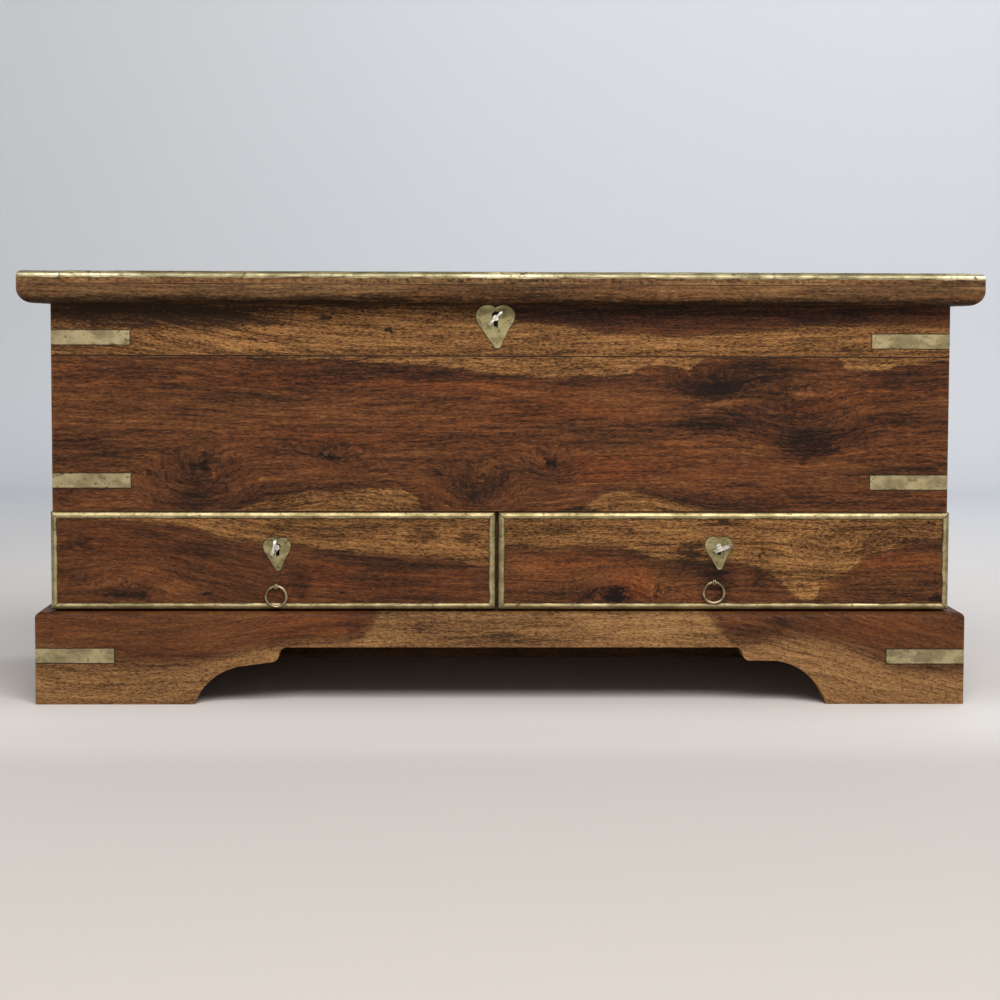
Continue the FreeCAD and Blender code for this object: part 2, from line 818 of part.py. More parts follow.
def link_rectangle():
    """The outline of the link plate on the underside of the lid."""
    low, high = hook_span()
    middle = (low + high) / 2
    half = size["link_width"] / 2
    place = size["lid_key_place"]
    deep = size["link_depth"] / 2
    return rectangle(place - half, place + half, middle - deep, middle + deep)


def make_link_plate():
    """A plate let into the lid, with two square eyes that drop into the chest lock."""
    plate = new_body("lid_link_plate_body")
    pad(plate, "XY_Plane", rim, rim + size["link_thick"], link_rectangle())
    low, high = hook_span()
    foot = rim - size["hook_drop"]
    window_low = foot + size["hook_foot"]
    half = size["hook_thick"] / 2
    for sign in (-1, 1):
        middle = size["lid_key_place"] + size["hook_place"] * sign
        pad(plate, "YZ_Plane", middle - half, middle + half,
            rectangle(low, high, foot, rim))
        pocket(plate, "YZ_Plane", middle - half, middle + half,
               rectangle(low + size["hook_leg"], high - size["hook_leg"],
                         window_low, window_low + size["hook_window"]))
    keep("lid_link_plate", plate)


# Hinges: two butt hinges let into the back board's rim and the lid

def hinge_leaf(name, low_z, high_z, own):
    """One leaf with the knuckles whose turn it is, bored for the pin."""
    pitch = size["hinge_length"] / KNUCKLES
    leaf = box(f"{name}_flap", (hinge_low, hinge_high),
               (lid_back - size["leaf_width"], lid_back - size["leaf_gap"]), (low_z, high_z))
    solids = [leaf]
    for index in own:
        start = hinge_low + pitch * index
        length = pitch - size["knuckle_gap"]
        solids.append(rod(f"{name}_knuckle", "X", (start, hinge_axis, rim), length,
                          size["knuckle_radius"]))
        solids.append(box(f"{name}_web", (start, start + length),
                          (lid_back - size["leaf_gap"], hinge_axis), (low_z, high_z)))
    bore = rod(f"{name}_bore", "X", (hinge_low - size["overrun"], hinge_axis, rim),
               size["hinge_length"] + size["overrun"] * 2, size["pin_radius"] + size["pin_fit"])
    one = cut(f"{name}_one", fuse(f"{name}_solid", solids), [bore])
    keep(name, group(f"{name}_pair", [one, mirror(f"{name}_twin", one)]))


def make_hinges():
    """The rim leaves, the lid leaves and their pins."""
    hinge_leaf("hinge_leaves_case", rim - size["leaf_thick"], rim, range(0, KNUCKLES, 2))
    hinge_leaf("hinge_leaves_lid", rim, rim + size["leaf_thick"], range(1, KNUCKLES, 2))
    pin = rod("hinge_pin", "X", (hinge_low, hinge_axis, rim), size["hinge_length"],
              size["pin_radius"])
    keep("hinge_pins", group("hinge_pins_pair", [pin, mirror("hinge_pin_twin", pin)]))


# Lock plates: heart-shaped, with a keyhole

def heart_outline(middle, top, width, height):
    """Two lobes with a shallow notch, bowed sides and a small rounded tip a little off centre."""
    notch = top - height * size["plate_notch_share"]
    shoulder = top - height * size["plate_shoulder_share"]
    tip = width * size["plate_tip_share"]
    bottom = top - height
    half = width / 2
    waist = top - height * size["plate_waist_share"]
    waist_half = half * size["plate_waist_width_share"]
    foot = middle + width * size["plate_tip_lean"]
    lobe = -(width * size["plate_lobe_share"])
    side = -(width * size["plate_side_share"])
    return [(middle, notch, lobe), (middle + half, shoulder, lobe),
            (middle + waist_half, waist, side),
            (foot + tip, bottom + tip / 2), (foot, bottom, -tip),
            (foot - tip, bottom + tip / 2, -tip), (middle - waist_half, waist),
            (middle - half, shoulder, side)]


def lock_plate(label, middle, key_height, face, kind, lock):
    """One lock plate on the face of its board; the lock is lid, left or right."""
    plate = new_body(f"{label}_body")
    front = face - size["plate_thick"]
    top = key_height + size[f"{kind}_plate_above_key"]
    pad(plate, "XZ_Plane", front, face,
        heart_outline(middle, top, size[f"{kind}_plate_width"], size[f"{kind}_plate_height"]))
    keyhole(plate, lock, middle, key_height, front, face)
    keep(label, plate)


# Locks: an open-backed case, a bolt and a key

def lock_case(label, middle, key_height, back, width, foot, top, slots):
    """A sheet-metal case let into the back of a board, its front closed by the wood."""
    body = new_body(f"{label}_body")
    half = width / 2
    wall = size["lock_wall"]
    front = back - size["lock_depth"]
    low = key_height - foot
    pad(body, "XZ_Plane", front, back, rectangle(middle - half, middle + half, low, top))
    pocket(body, "XZ_Plane", front, back - wall,
           rectangle(middle - half + wall, middle + half - wall, low + wall, top - wall))
    pocket(body, "XZ_Plane", back - wall, back,
           circle(middle, key_height, size["shank_radius"] + size["shank_fit"]))
    pocket(body, "XY_Plane", top - wall, top, *slots)
    keep(label, body)


def key(label, place, height, face, length, bow_width, turn, bow_shift=ZERO, bow_slide=ZERO):
    """A key in its lock: an oval bow outside, bent off centre, a collar, and a bit inside."""
    body = new_body(f"{label}_body")
    collar_back = -(size["plate_thick"] + size["collar_gap"])
    collar_front = collar_back - size["collar_length"]
    bow_front = collar_front - size["bow_length"]
    half = bow_width / 2
    bar = size["bow_bar"]
    thick = size["bow_thick"] / 2
    pad(body, "XZ_Plane", collar_front, length, circle(ZERO, ZERO, size["shank_radius"]))
    pad(body, "XZ_Plane", collar_front, collar_back, circle(ZERO, ZERO, size["collar_radius"]))
    pad(body, "YZ_Plane", bow_shift - thick, bow_shift + thick,
        bow_outline(bow_front, collar_front, half, bow_slide),
        bow_outline(bow_front + bar, collar_front - bar, half - bar, bow_slide))
    bit = size["bit_thick"] / 2
    bit_front = length - size["shank_end"] - size["lock_depth"] + size["bit_front_gap"]
    bit_back = length - size["shank_end"] - size["lock_wall"] - size["bit_back_gap"]
    pad(body, "YZ_Plane", -bit, bit, rectangle(bit_front, bit_back, -size["bit_drop"], ZERO))
    body.Placement.Rotation = Rotation(Vector(0, 1, 0), turn.number)
    bind(body, "Placement.Rotation.Angle", turn)
    for axis, value in zip("xyz", (place, face, height)):
        bind(body, f"Placement.Base.{axis}", value)
    keep(label, body)


def bow_outline(low, high, half, slide):
    """A long round-ended outline: low to high along Y, half its width above and below slide."""
    radius = (high - low) / 2
    top = slide + half
    bottom = slide - half
    middle = (low + high) / 2
    return [(high, top - radius), (middle, top, radius), (low, top - radius, radius),
            (low, bottom + radius), (middle, bottom, radius), (high, bottom + radius, radius)]


def make_lid_lock():
    """Lock plate, case, bolt and key of the lid."""
    middle = size["lid_key_place"]
    lock_plate("heart_escutcheon", middle, lid_key_height, case_front, "lid", "lid")
    low, high = hook_span()
    gap = size["hook_slot_gap"]
    slots = []
    for sign in (-1, 1):
        place = middle + size["hook_place"] * sign
        half = size["hook_thick"] / 2 + gap
        slots.append(rectangle(place - half, place + half, low - gap, high + gap))
    lock_case("lid_lock_case", middle, lid_key_height, case_front_inside, size["lid_lock_width"],
              size["lid_lock_foot"], rim, slots)
    make_lid_bolt(middle)
    key("lid_key", middle, lid_key_height, case_front, size["wall_thick"] + size["shank_end"],
        size["lid_bow_width"], size["lid_key_turn"])


def make_lid_bolt(middle):
    """A sliding plate with two raised fingers that pass through the link plate's eyes."""
    bolt_front, bolt_back = bolt_span(case_front_inside)
    base_low = lid_key_height + size["lid_bolt_lift"]
    base_high = base_low + size["lid_bolt_height"]
    window_low = rim - size["hook_drop"] + size["hook_foot"]
    finger_low = window_low + size["finger_clear"]
    finger_high = window_low + size["hook_window"] - size["finger_clear"]
    hook_half = size["hook_thick"] / 2
    body = new_body("lid_bolt_body")
    tips = []
    for sign in (-1, 1):
        hook = middle + size["hook_place"] * sign
        tip = hook - hook_half - size["finger_gap"]
        riser = tip - size["lid_bolt_throw"]
        tips.append((riser - size["riser_width"], riser, tip))
    pad(body, "XZ_Plane", bolt_front, bolt_back,
        rectangle(tips[0][0], middle + size["lid_bolt_tail"], base_low, base_high))
    for left, riser, tip in tips:
        pad(body, "XZ_Plane", bolt_front, bolt_front + size["finger_thick"],
            [(left, base_high), (riser, base_high), (riser, finger_low), (tip, finger_low),
             (tip, finger_high), (left, finger_high)])
    keep("lid_bolt", body)


# Drawers: dovetailed boxes behind full fronts edged with brass

def drawer_front_span(side):
    """The left and right ends of a drawer front."""
    gap = size["drawer_gap_middle"] / 2
    end = case_half + size["drawer_side_lap"]
    if side == "left":
        return -end, size["divider_place"] - gap
    return size["divider_place"] + gap, end


def drawer_box_span(side):
    """The outer faces of a drawer's box, between the case side and the divider."""
    gap = size["drawer_side_gap"]
    if side == "left":
        return gap - case_inside, divider_low - gap
    return divider_high + gap, case_inside - gap


def tail_outlines(low, high, root, tip):
    """Dovetail outlines in the side's plane, evenly spaced from low to high."""
    pitch = (high - low) / TAILS
    outlines = []
    for index in range(TAILS):
        middle = low + pitch * index + pitch / 2
        root_half = pitch * size["tail_root_share"] / 2
        tip_half = pitch * size["tail_tip_share"] / 2
        outlines.append([(root, middle - root_half), (tip, middle - tip_half),
                         (tip, middle + tip_half), (root, middle + root_half)])
    return outlines


def make_drawer(side):
    """One drawer: front, dovetailed box, brass edging, lock, key, bolt, staple and ring."""
    low_x, high_x = drawer_front_span(side)
    box_low, box_high = drawer_box_span(side)
    board = size["drawer_board_thick"]
    low_z = tier_bottom + size["drawer_run_gap"]
    high_z = low_z + size["drawer_box_height"]
    base_z = low_z + size["drawer_base_rise"]
    base_top = base_z + size["drawer_base_thick"]
    box_back = case_back_inside - size["drawer_back_gap"]
    groove = size["drawer_groove"]
    front_tails = tail_outlines(base_top, high_z, drawer_front_back,
                                drawer_front_back - size["tail_front_length"])
    back_tails = tail_outlines(base_top, high_z, box_back - board, box_back)
    left, right = (box_low, box_low + board), (box_high - board, box_high)
    left_groove, right_groove = (left[1] - groove, left[1]), (right[0], right[0] + groove)
    left_name, right_name = ("outer", "inner") if side == "left" else ("inner", "outer")
    cheeks = ((left_name, left, left_groove), (right_name, right, right_groove))

    for name, (low, high), groove_across in cheeks:
        cheek = new_body(f"drawer_{side}_{name}_body")
        pad(cheek, "YZ_Plane", low, high,
            rectangle(drawer_front_back, box_back - board, low_z, high_z))
        pad(cheek, "YZ_Plane", low, high, rectangle(box_back - board, box_back, low_z, base_z))
        pad(cheek, "YZ_Plane", low, high, *front_tails, *back_tails)
        pocket(cheek, "XY_Plane", base_z, base_top,
               rectangle(*groove_across, drawer_front_back, box_back - board))
        keep(f"drawer_{side}_side_{name}", cheek)

    back = new_body(f"drawer_{side}_back_body")
    pad(back, "XZ_Plane", box_back - board, box_back, rectangle(box_low, box_high, base_top, high_z))
    for low, high in (left, right):
        pocket(back, "YZ_Plane", low, high, *back_tails)
    keep(f"drawer_{side}_back", back)

    base_across = (box_low + board - groove, box_high - board + groove)
    base = box(f"drawer_{side}_base_board", base_across, (drawer_front_back - groove, box_back),
               (base_z, base_top))
    keep(f"drawer_{side}_base", base)
    make_drawer_front(side, (left, right), front_tails, base_across, (base_z, base_top))
    make_trim(side, low_x, high_x)
    make_drawer_lock(side)
    make_ring_pull(side)


def make_drawer_front(side, cheek_spans, tails, base_across, base_up):
    """The front: rebated for its brass, cut for lock, staple, box sides and base."""
    low_x, high_x = drawer_front_span(side)
    middle, height = drawer_key_places(side)
    trim = size["trim_width"]
    front = new_body(f"drawer_{side}_front_body")
    pad(front, "XZ_Plane", drawer_face, drawer_front_back,
        rectangle(low_x, high_x, drawer_low, drawer_high))
    pocket(front, "XZ_Plane", drawer_face, drawer_face + size["trim_sunk"],
           rectangle(low_x, high_x, drawer_low, drawer_high),
           rectangle(low_x + trim, high_x - trim, drawer_low + trim, drawer_high - trim))
    lock_recess(front, middle, size["drawer_lock_width"], height - size["drawer_lock_foot"],
                drawer_high, drawer_front_back)
    keyhole(front, side, middle, height, drawer_face, drawer_front_back)
    staple_x, staple_z = staple_place(side)
    pocket(front, "XZ_Plane", drawer_face, drawer_front_back,
           circle(staple_x, staple_z, size["staple_radius"] + size["staple_fit"]))
    for low, high in cheek_spans:
        pocket(front, "YZ_Plane", low, high, *tails)
    pocket(front, "XY_Plane", base_up[0], base_up[1],
           rectangle(base_across[0], base_across[1],
                     drawer_front_back - size["drawer_groove"], drawer_front_back))
    keep(f"drawer_{side}_front", front)


def make_trim(side, low_x, high_x):
    """Four mitred brass strips round the drawer front."""
    strips = []
    width = size["trim_width"]
    over = size["overrun"]
    front = drawer_face - size["trim_proud"]
    back = drawer_face + size["trim_sunk"]
    rounding = size["trim_round"]
    for name, outside, inward in (("bottom", drawer_low, 1), ("top", drawer_high, -1)):
        inside = outside + width * inward
        strip = new_body(f"trim_{side}_{name}")
        pad(strip, "YZ_Plane", low_x, high_x,
            [(back, outside), (back, inside), (front, inside),
             (front, outside + rounding * inward),
             (front + rounding, outside, rounding * inward)])
        pocket(strip, "XZ_Plane", front - over, back + over,
               [(low_x, outside), (low_x + width, inside), (low_x, inside)],
               [(high_x, outside), (high_x, inside), (high_x - width, inside)])
        strips.append(strip)
    for name, outside, inward in (("left", low_x, 1), ("right", high_x, -1)):
        inside = outside + width * inward
        strip = new_body(f"trim_{side}_{name}")
        pad(strip, "XY_Plane", drawer_low, drawer_high,
            [(outside, back), (inside, back), (inside, front),
             (outside + rounding * inward, front),
             (outside, front + rounding, rounding * -inward)])
        pocket(strip, "XZ_Plane", front - over, back + over,
               [(outside, drawer_low), (inside, drawer_low), (inside, drawer_low + width)],
               [(outside, drawer_high), (inside, drawer_high - width), (inside, drawer_high)])
        strips.append(strip)
    keep(f"drawer_{side}_trim", group(f"drawer_{side}_trim_group", strips))


def make_drawer_lock(side):
    """Lock plate, case, rising bolt and key of one drawer."""
    middle, height = drawer_key_places(side)
    lock_plate(f"drawer_{side}_escutcheon", middle, height, drawer_face, "drawer", side)
    bolt_front, bolt_back = bolt_span(drawer_front_back)
    half = size["drawer_bolt_width"] / 2
    gap = size["bolt_slot_gap"]
    slot = rectangle(middle - half - gap, middle + half + gap, bolt_front - gap,
                     drawer_front_back - size["lock_wall"])
    lock_case(f"drawer_{side}_lock_case", middle, height, drawer_front_back,
              size["drawer_lock_width"], size["drawer_lock_foot"], drawer_high, [slot])
    bolt = box(f"bolt_{side}_bar", (middle - half, middle + half), (bolt_front, bolt_back),
               (height + size["drawer_bolt_lift"], drawer_high - size["drawer_bolt_sunk"]))
    keep(f"bolt_{side}", bolt)
    key(f"key_{side}", middle, height, drawer_face,
        size["drawer_front_thick"] + size["shank_end"], size[f"{side}_bow_width"],
        size[f"{side}_key_turn"], size[f"{side}_bow_shift"], size[f"{side}_bow_slide"])


def staple_place(side):
    """Where a ring's staple goes through the drawer front: across, and its height."""
    low, high = drawer_front_span(side)
    return (low + high) / 2 + size[f"{side}_ring_offset"], drawer_low + size[f"{side}_ring_rise"]


def make_ring_pull(side):
    """A ring of wire hanging in a doubled split-pin eye whose ends are clenched inside."""
    across, height = staple_place(side)
    eye_y = drawer_face - size["eye_stand"]
    eyes = [loop_of_wire(f"eye_{side}_{strand}", Rotation(Vector(0, 1, 0), 90),
                         (across + size["eye_wire_apart"] * strand_side, eye_y, height),
                         size["eye_radius"], size["eye_wire_radius"])
            for strand, strand_side in (("a", -1), ("b", 1))]
    start = eye_y + size["eye_radius"]
    end = drawer_front_back + size["clench_radius"] * 2
    shank = rod(f"staple_shank_{side}", "Y", (across, start, height), end - start,
                size["staple_radius"])
    clench_y = drawer_front_back + size["clench_radius"]
    clench = rod(f"staple_ends_{side}", "X", (across - size["clench_length"], clench_y, height),
                 size["clench_length"] * 2, size["clench_radius"])
    keep(f"drawer_{side}_staple", fuse(f"staple_{side}_solid", [*eyes, shank, clench]))
    drop = size["eye_radius"] - size["eye_wire_radius"] - size["ring_wire_radius"]
    wire_z = height - drop + size["ring_hang_gap"]
    ring = loop_of_wire(f"ring_{side}_loop", Rotation(Vector(1, 0, 0), 90),
                        (across, eye_y, wire_z - size["ring_radius"]),
                        size["ring_radius"], size["ring_wire_radius"])
    keep(f"ring_{side}", ring)


def check_and_export():
    """Stop on any failed object or bad shape, then write each sub-part to its own file."""
    DOCUMENT.recompute()
    failed = [thing.Name for thing in DOCUMENT.Objects
              if "Invalid" in thing.State or "Error" in thing.State]
    if failed:
        raise ValueError(f"failed objects: {failed}")
    for label, thing in NODES.items():
        if thing.Shape.isNull() or not thing.Shape.isValid():
            raise ValueError(f"bad shape: {label}")
    os.makedirs("parts", exist_ok=True)
    for label, thing in NODES.items():
        thing.Shape.exportStep(f"parts/{label}.step")
    print(len(NODES), "sub-parts written")


make_plinth()
make_case()
make_lid()
make_hinges()
make_lid_lock()
for drawer_side in SIDES:
    make_drawer(drawer_side)
check_and_export()
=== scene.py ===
"""A low damchiya chest: its boards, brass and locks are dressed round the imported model."""

import logging
import math
from collections.abc import Callable
from dataclasses import dataclass, replace
from enum import Enum

import bpy
from mathutils import Matrix, Vector


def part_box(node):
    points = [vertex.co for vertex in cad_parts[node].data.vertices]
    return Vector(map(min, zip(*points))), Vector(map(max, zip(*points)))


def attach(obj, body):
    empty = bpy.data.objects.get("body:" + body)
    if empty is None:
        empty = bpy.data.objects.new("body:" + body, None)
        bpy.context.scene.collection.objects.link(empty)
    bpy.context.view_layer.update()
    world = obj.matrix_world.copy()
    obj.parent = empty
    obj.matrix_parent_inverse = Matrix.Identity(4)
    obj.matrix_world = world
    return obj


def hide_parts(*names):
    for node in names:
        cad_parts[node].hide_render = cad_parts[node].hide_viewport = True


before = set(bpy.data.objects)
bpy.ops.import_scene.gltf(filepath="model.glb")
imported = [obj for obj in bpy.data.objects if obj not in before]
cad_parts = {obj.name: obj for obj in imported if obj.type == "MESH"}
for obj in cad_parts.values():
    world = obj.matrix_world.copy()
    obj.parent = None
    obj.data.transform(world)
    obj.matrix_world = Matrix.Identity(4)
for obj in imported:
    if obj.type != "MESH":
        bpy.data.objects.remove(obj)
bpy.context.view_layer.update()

LOG = logging.getLogger("chest")
MM = 0.001
FORWARD = Vector((0, -1, 0))

Socket = bpy.types.NodeSocket
Value = float | Socket
Shade = tuple[int, int, int]
Stops = tuple[tuple[float, Shade], ...]
Point = tuple[float, float]
Triple = tuple[float, float, float]
Solid = bpy.types.Object
Finish = bpy.types.Material


class Body(str, Enum):
    """The moving bodies of the chest."""

    CHEST = "chest"
    LID = "lid"
    DRAWER_LEFT = "drawer_left"
    DRAWER_RIGHT = "drawer_right"
    RING_LEFT = "ring_left"
    RING_RIGHT = "ring_right"
    KEY_LEFT = "key_left"
    KEY_RIGHT = "key_right"
    BOLT_LEFT = "bolt_left"
    BOLT_RIGHT = "bolt_right"
    LID_KEY = "lid_key"
    LID_BOLT = "lid_bolt"


class Slot(str, Enum):
    """The material slots that the record names."""

    ROSEWOOD = "rosewood"
    CASE_WOOD = "case_wood"
    BRASS = "brass"
    KEY_STEEL = "key_steel"
    LOCK_IRON = "lock_iron"


class Grain(Enum):
    """How a board's grain lies: the axes along it, across its face, and through it."""

    FRONT = (0, 2, 1)
    SIDE = (1, 2, 0)
    TOP = (0, 1, 2)
    FLOOR = (1, 0, 2)
    POST = (2, 0, 1)


class Side(Enum):
    """The left or right one of two."""

    LEFT = "left"
    RIGHT = "right"

    @property
    def sign(self) -> int:
        """-1 on the left, 1 on the right."""
        return -1 if self is Side.LEFT else 1


class Element(Enum):
    """What is picked in a mesh: the name of the mode, and the list in the mesh."""

    POINTS = ("VERT", "vertices")
    LINES = ("EDGE", "edges")
    FACES = ("FACE", "polygons")


class Push(Enum):
    """The way in which hand work leaves a surface uneven."""

    UP = "Z"
    OUT = "NORMAL"


def linear(shade: Shade) -> tuple[float, float, float, float]:
    """Turn a screen colour into the renderer's own.

    Args:
        shade: red, green and blue, 0 to 255.

    Returns:
        The linear colour with full opacity.
    """
    def channel(level: int) -> float:
        """One channel, straightened."""
        part = level / 255
        return part / 12.92 if part <= 0.04045 else ((part + 0.055) / 1.055) ** 2.4

    return (*(channel(level) for level in shade), 1.0)


@dataclass(frozen=True)
class Pattern:
    """A cloudy pattern: its cells to the metre on each axis, its finer layers, its weight."""

    cells: Triple
    shift: float
    layers: float = 2
    rough: float = 0.6
    weight: float = 1.0


@dataclass(frozen=True)
class Stain:
    """A colour laid over another: where it fades in, how strong it is, and its shade."""

    edge: Point
    strength: float
    shade: Shade


class Graph:
    """One material's nodes, added one at a time and wired as they come."""

    curve_margin = 0.01

    def __init__(self, name: str) -> None:
        """Start a material that holds only its shader.

        Args:
            name: the material's name.
        """
        self.material = bpy.data.materials.new(name)
        self.material.use_nodes = True
        self.nodes = self.material.node_tree.nodes
        self.links = self.material.node_tree.links
        self.shader = self.nodes["Principled BSDF"]

    def plug(self, socket: Socket, value: object) -> None:
        """Wire a value into a socket, or set it there.

        Args:
            socket: the input to feed.
            value: another node's output, a number, a colour, or None to leave it.
        """
        if isinstance(value, Socket):
            self.links.new(value, socket)
        elif value is not None:
            socket.default_value = value

    def make(self, kind: str, *values: object, out: int = 0, **settings: object) -> Socket:
        """Add a node.

        Args:
            kind: the node's type, without its ShaderNode prefix.
            values: what its inputs get, in order.
            out: which output to hand back.
            settings: the node's own options.

        Returns:
            The chosen output.
        """
        node = self.nodes.new("ShaderNode" + kind)
        for key, setting in settings.items():
            setattr(node, key, setting)
        for socket, value in zip(node.inputs, values):
            self.plug(socket, value)
        return node.outputs[out]

    def named(self, kind: str, out: int = 0, **values: object) -> Socket:
        """Add a node and feed its inputs by their names.

        Args:
            kind: the node's type, without its ShaderNode prefix.
            out: which output to hand back.
            values: what each named input gets.

        Returns:
            The chosen output.
        """
        node = self.nodes.new("ShaderNode" + kind)
        for name, value in values.items():
            self.plug(node.inputs[name], value)
        return node.outputs[out]

    def place(self) -> Socket:
        """The object's own coordinates."""
        return self.make("TexCoord", out=3)

    def axes(self, place: Value) -> tuple[Socket, ...]:
        """A place's three coordinates."""
        return tuple(self.make("SeparateXYZ", place).node.outputs)

    def math(self, operation: str, *values: Value) -> Socket:
        """One arithmetic step."""
        return self.make("Math", *values, operation=operation)

    def total(self, *values: Value) -> Socket:
        """Add several values up.

        Args:
            values: the terms, at least two.

        Returns:
            Their sum.
        """
        result = values[0]
        for value in values[1:]:
            result = self.math("ADD", result, value)
        return result

    def swing(self, value: Value, size: float, middle: float = 0.5) -> Socket:
        """A pattern centred on nought, and given its size."""
        return self.math("MULTIPLY", self.math("SUBTRACT", value, middle), size)

    def apart(self, first: Value, second: Value) -> Socket:
        """How far two values are apart."""
        return self.math("ABSOLUTE", self.math("SUBTRACT", first, second))

    def fade(self, value: Value, start: float, end: float) -> Socket:
        """Nought before start, one after end, and a smooth step between them."""
        return self.make("MapRange", value, start, end, 0.0, 1.0,
                         interpolation_type="SMOOTHSTEP")

    def depths(self, place: Value, low: Vector, high: Vector, *axes: int) -> list[Socket]:
        """Measure how deep a place lies inside a box, along some of its axes.

        Args:
            place: the coordinates.
            low: the box's lowest corner.
            high: its highest corner.
            axes: the axes to measure along.

        Returns:
            The depth along each axis, in metres.
        """
        split, result = self.axes(place), []
        for axis in axes:
            middle, half = (low[axis] + high[axis]) / 2, (high[axis] - low[axis]) / 2
            result.append(self.math("SUBTRACT", half, self.apart(split[axis], middle)))
        return result

    def cloud(self, place: Value, pattern: Pattern, seed: float, out: int = 0) -> Socket:
        """Lay a cloudy pattern over a place.

        Args:
            place: the coordinates.
            pattern: its size and its layers.
            seed: shifts it, so that no two pieces are alike.
            out: 0 for a value, 1 for a colour.

        Returns:
            The pattern.
        """
        start = seed + pattern.shift
        shift = (start, start * 1.7 + 3.1, start * 0.6 - 5.3)
        cells = self.make("VectorMath", place, pattern.cells, shift, operation="MULTIPLY_ADD")
        return self.named("TexNoise", out, Vector=cells, Scale=1.0, Detail=pattern.layers,
                          Roughness=pattern.rough)

    def ramp(self, value: Value, stops: Stops) -> Socket:
        """Colour a value by a row of stops.

        Args:
            value: 0 to 1.
            stops: each stop's place and colour.

        Returns:
            The colour.
        """
        node = self.nodes.new("ShaderNodeValToRGB")
        row = node.color_ramp.elements
        while len(row) < len(stops):
            row.new(0.5)
        for element, (place, shade) in zip(row, stops):
            element.position = place
            element.color = linear(shade)
        self.plug(node.inputs[0], value)
        return node.outputs[0]

    def blend(self, share: Value, first: object, second: object) -> Socket:
        """Mix two colours, with share saying how much there is of the second."""
        return self.make("Mix", share, None, None, None, None, None, first, second,
                         out=2, data_type="RGBA", blend_type="MIX")

    def tint(self, colour: object, mask: Value, strength: float, shade: Shade) -> Socket:
        """Lay a colour over another where the mask says."""
        return self.blend(self.math("MULTIPLY", mask, strength), colour, linear(shade))

    def stained(self, colour: object, value: Value, stain: Stain) -> Socket:
        """Lay a stain over a colour, where a value passes its edge."""
        return self.tint(colour, self.fade(value, *stain.edge), stain.strength, stain.shade)

    def curve(self, value: Value, points: tuple[Point, ...]) -> Socket:
        """Read a drawn line.

        Args:
            value: the place along the line, in metres.
            points: the line's points, in metres.

        Returns:
            The line's height there, in metres.
        """
        start, end = points[0][0], points[-1][0]
        heights = [height for _, height in points]
        low, high = min(heights) - self.curve_margin, max(heights) + self.curve_margin
        node = self.nodes.new("ShaderNodeFloatCurve")
        line = node.mapping.curves[0]
        while len(line.points) < len(points):
            line.points.new(0.5, 0.5)
        for knot, (along, height) in zip(line.points, points):
            knot.location = ((along - start) / (end - start), (height - low) / (high - low))
        node.mapping.update()
        self.plug(node.inputs[1], self.make("MapRange", value, start, end, 0.0, 1.0))
        return self.make("MapRange", node.outputs[0], 0.0, 1.0, low, high)

    def bump(self, height: Value, strength: float, distance: float, below: Value | None = None
             ) -> Socket:
        """A surface slope from a height, whose unit measures distance in metres."""
        return self.named("Bump", Strength=strength, Distance=distance, Height=height,
                          Normal=below)

    def surface(self, colour: object, roughness: Value, normal: Value, **fixed: float) -> Finish:
        """Feed the shader.

        Args:
            colour: the base colour.
            roughness: how blurred its reflections are.
            normal: the surface slope.
            fixed: settings that are the same all over, with _ for each space.

        Returns:
            The finished material.
        """
        self.plug(self.shader.inputs["Base Color"], colour)
        self.plug(self.shader.inputs["Roughness"], roughness)
        self.plug(self.shader.inputs["Normal"], normal)
        for key, number in fixed.items():
            self.shader.inputs[key.replace("_", " ")].default_value = number
        return self.material


# The wood's colours, from its darkest lines to its palest
HEARTWOOD = ((0.0, (24, 14, 9)), (0.22, (50, 29, 17)), (0.42, (80, 47, 26)),
             (0.58, (100, 60, 32)), (0.78, (124, 80, 43)), (1.0, (154, 104, 60)))
REDWOOD = ((0.0, (30, 15, 8)), (0.22, (62, 32, 16)), (0.42, (94, 49, 24)),
           (0.58, (118, 63, 31)), (0.78, (142, 84, 44)), (1.0, (170, 110, 64)))
SAPWOOD = ((0.0, (44, 28, 14)), (0.22, (86, 56, 29)), (0.42, (128, 88, 49)),
           (0.58, (154, 110, 64)), (0.78, (178, 133, 82)), (1.0, (202, 162, 110)))
PALE_SAP = ((0.0, (46, 31, 17)), (0.22, (90, 62, 36)), (0.42, (131, 94, 57)),
            (0.58, (156, 116, 73)), (0.78, (180, 141, 95)), (1.0, (204, 168, 120)))
BROWN_GOLD = ((0.0, (34, 23, 14)), (0.22, (62, 43, 27)), (0.42, (93, 67, 41)),
              (0.58, (116, 85, 53)), (0.78, (140, 107, 68)), (1.0, (168, 134, 92)))
DRY_WOOD = ((0.0, (50, 34, 24)), (0.3, (92, 66, 45)), (0.5, (118, 88, 60)),
            (0.7, (138, 106, 74)), (1.0, (166, 134, 98)))
PALE_FLECK = Stain((0.74, 0.82), 0.22, (168, 132, 100))
WORN_EDGE = Stain((0.0012, 0.0), 0.30, (140, 104, 72))
DARK_SEAM = Stain((0.0012, 0.0004), 0.9, (22, 15, 10))

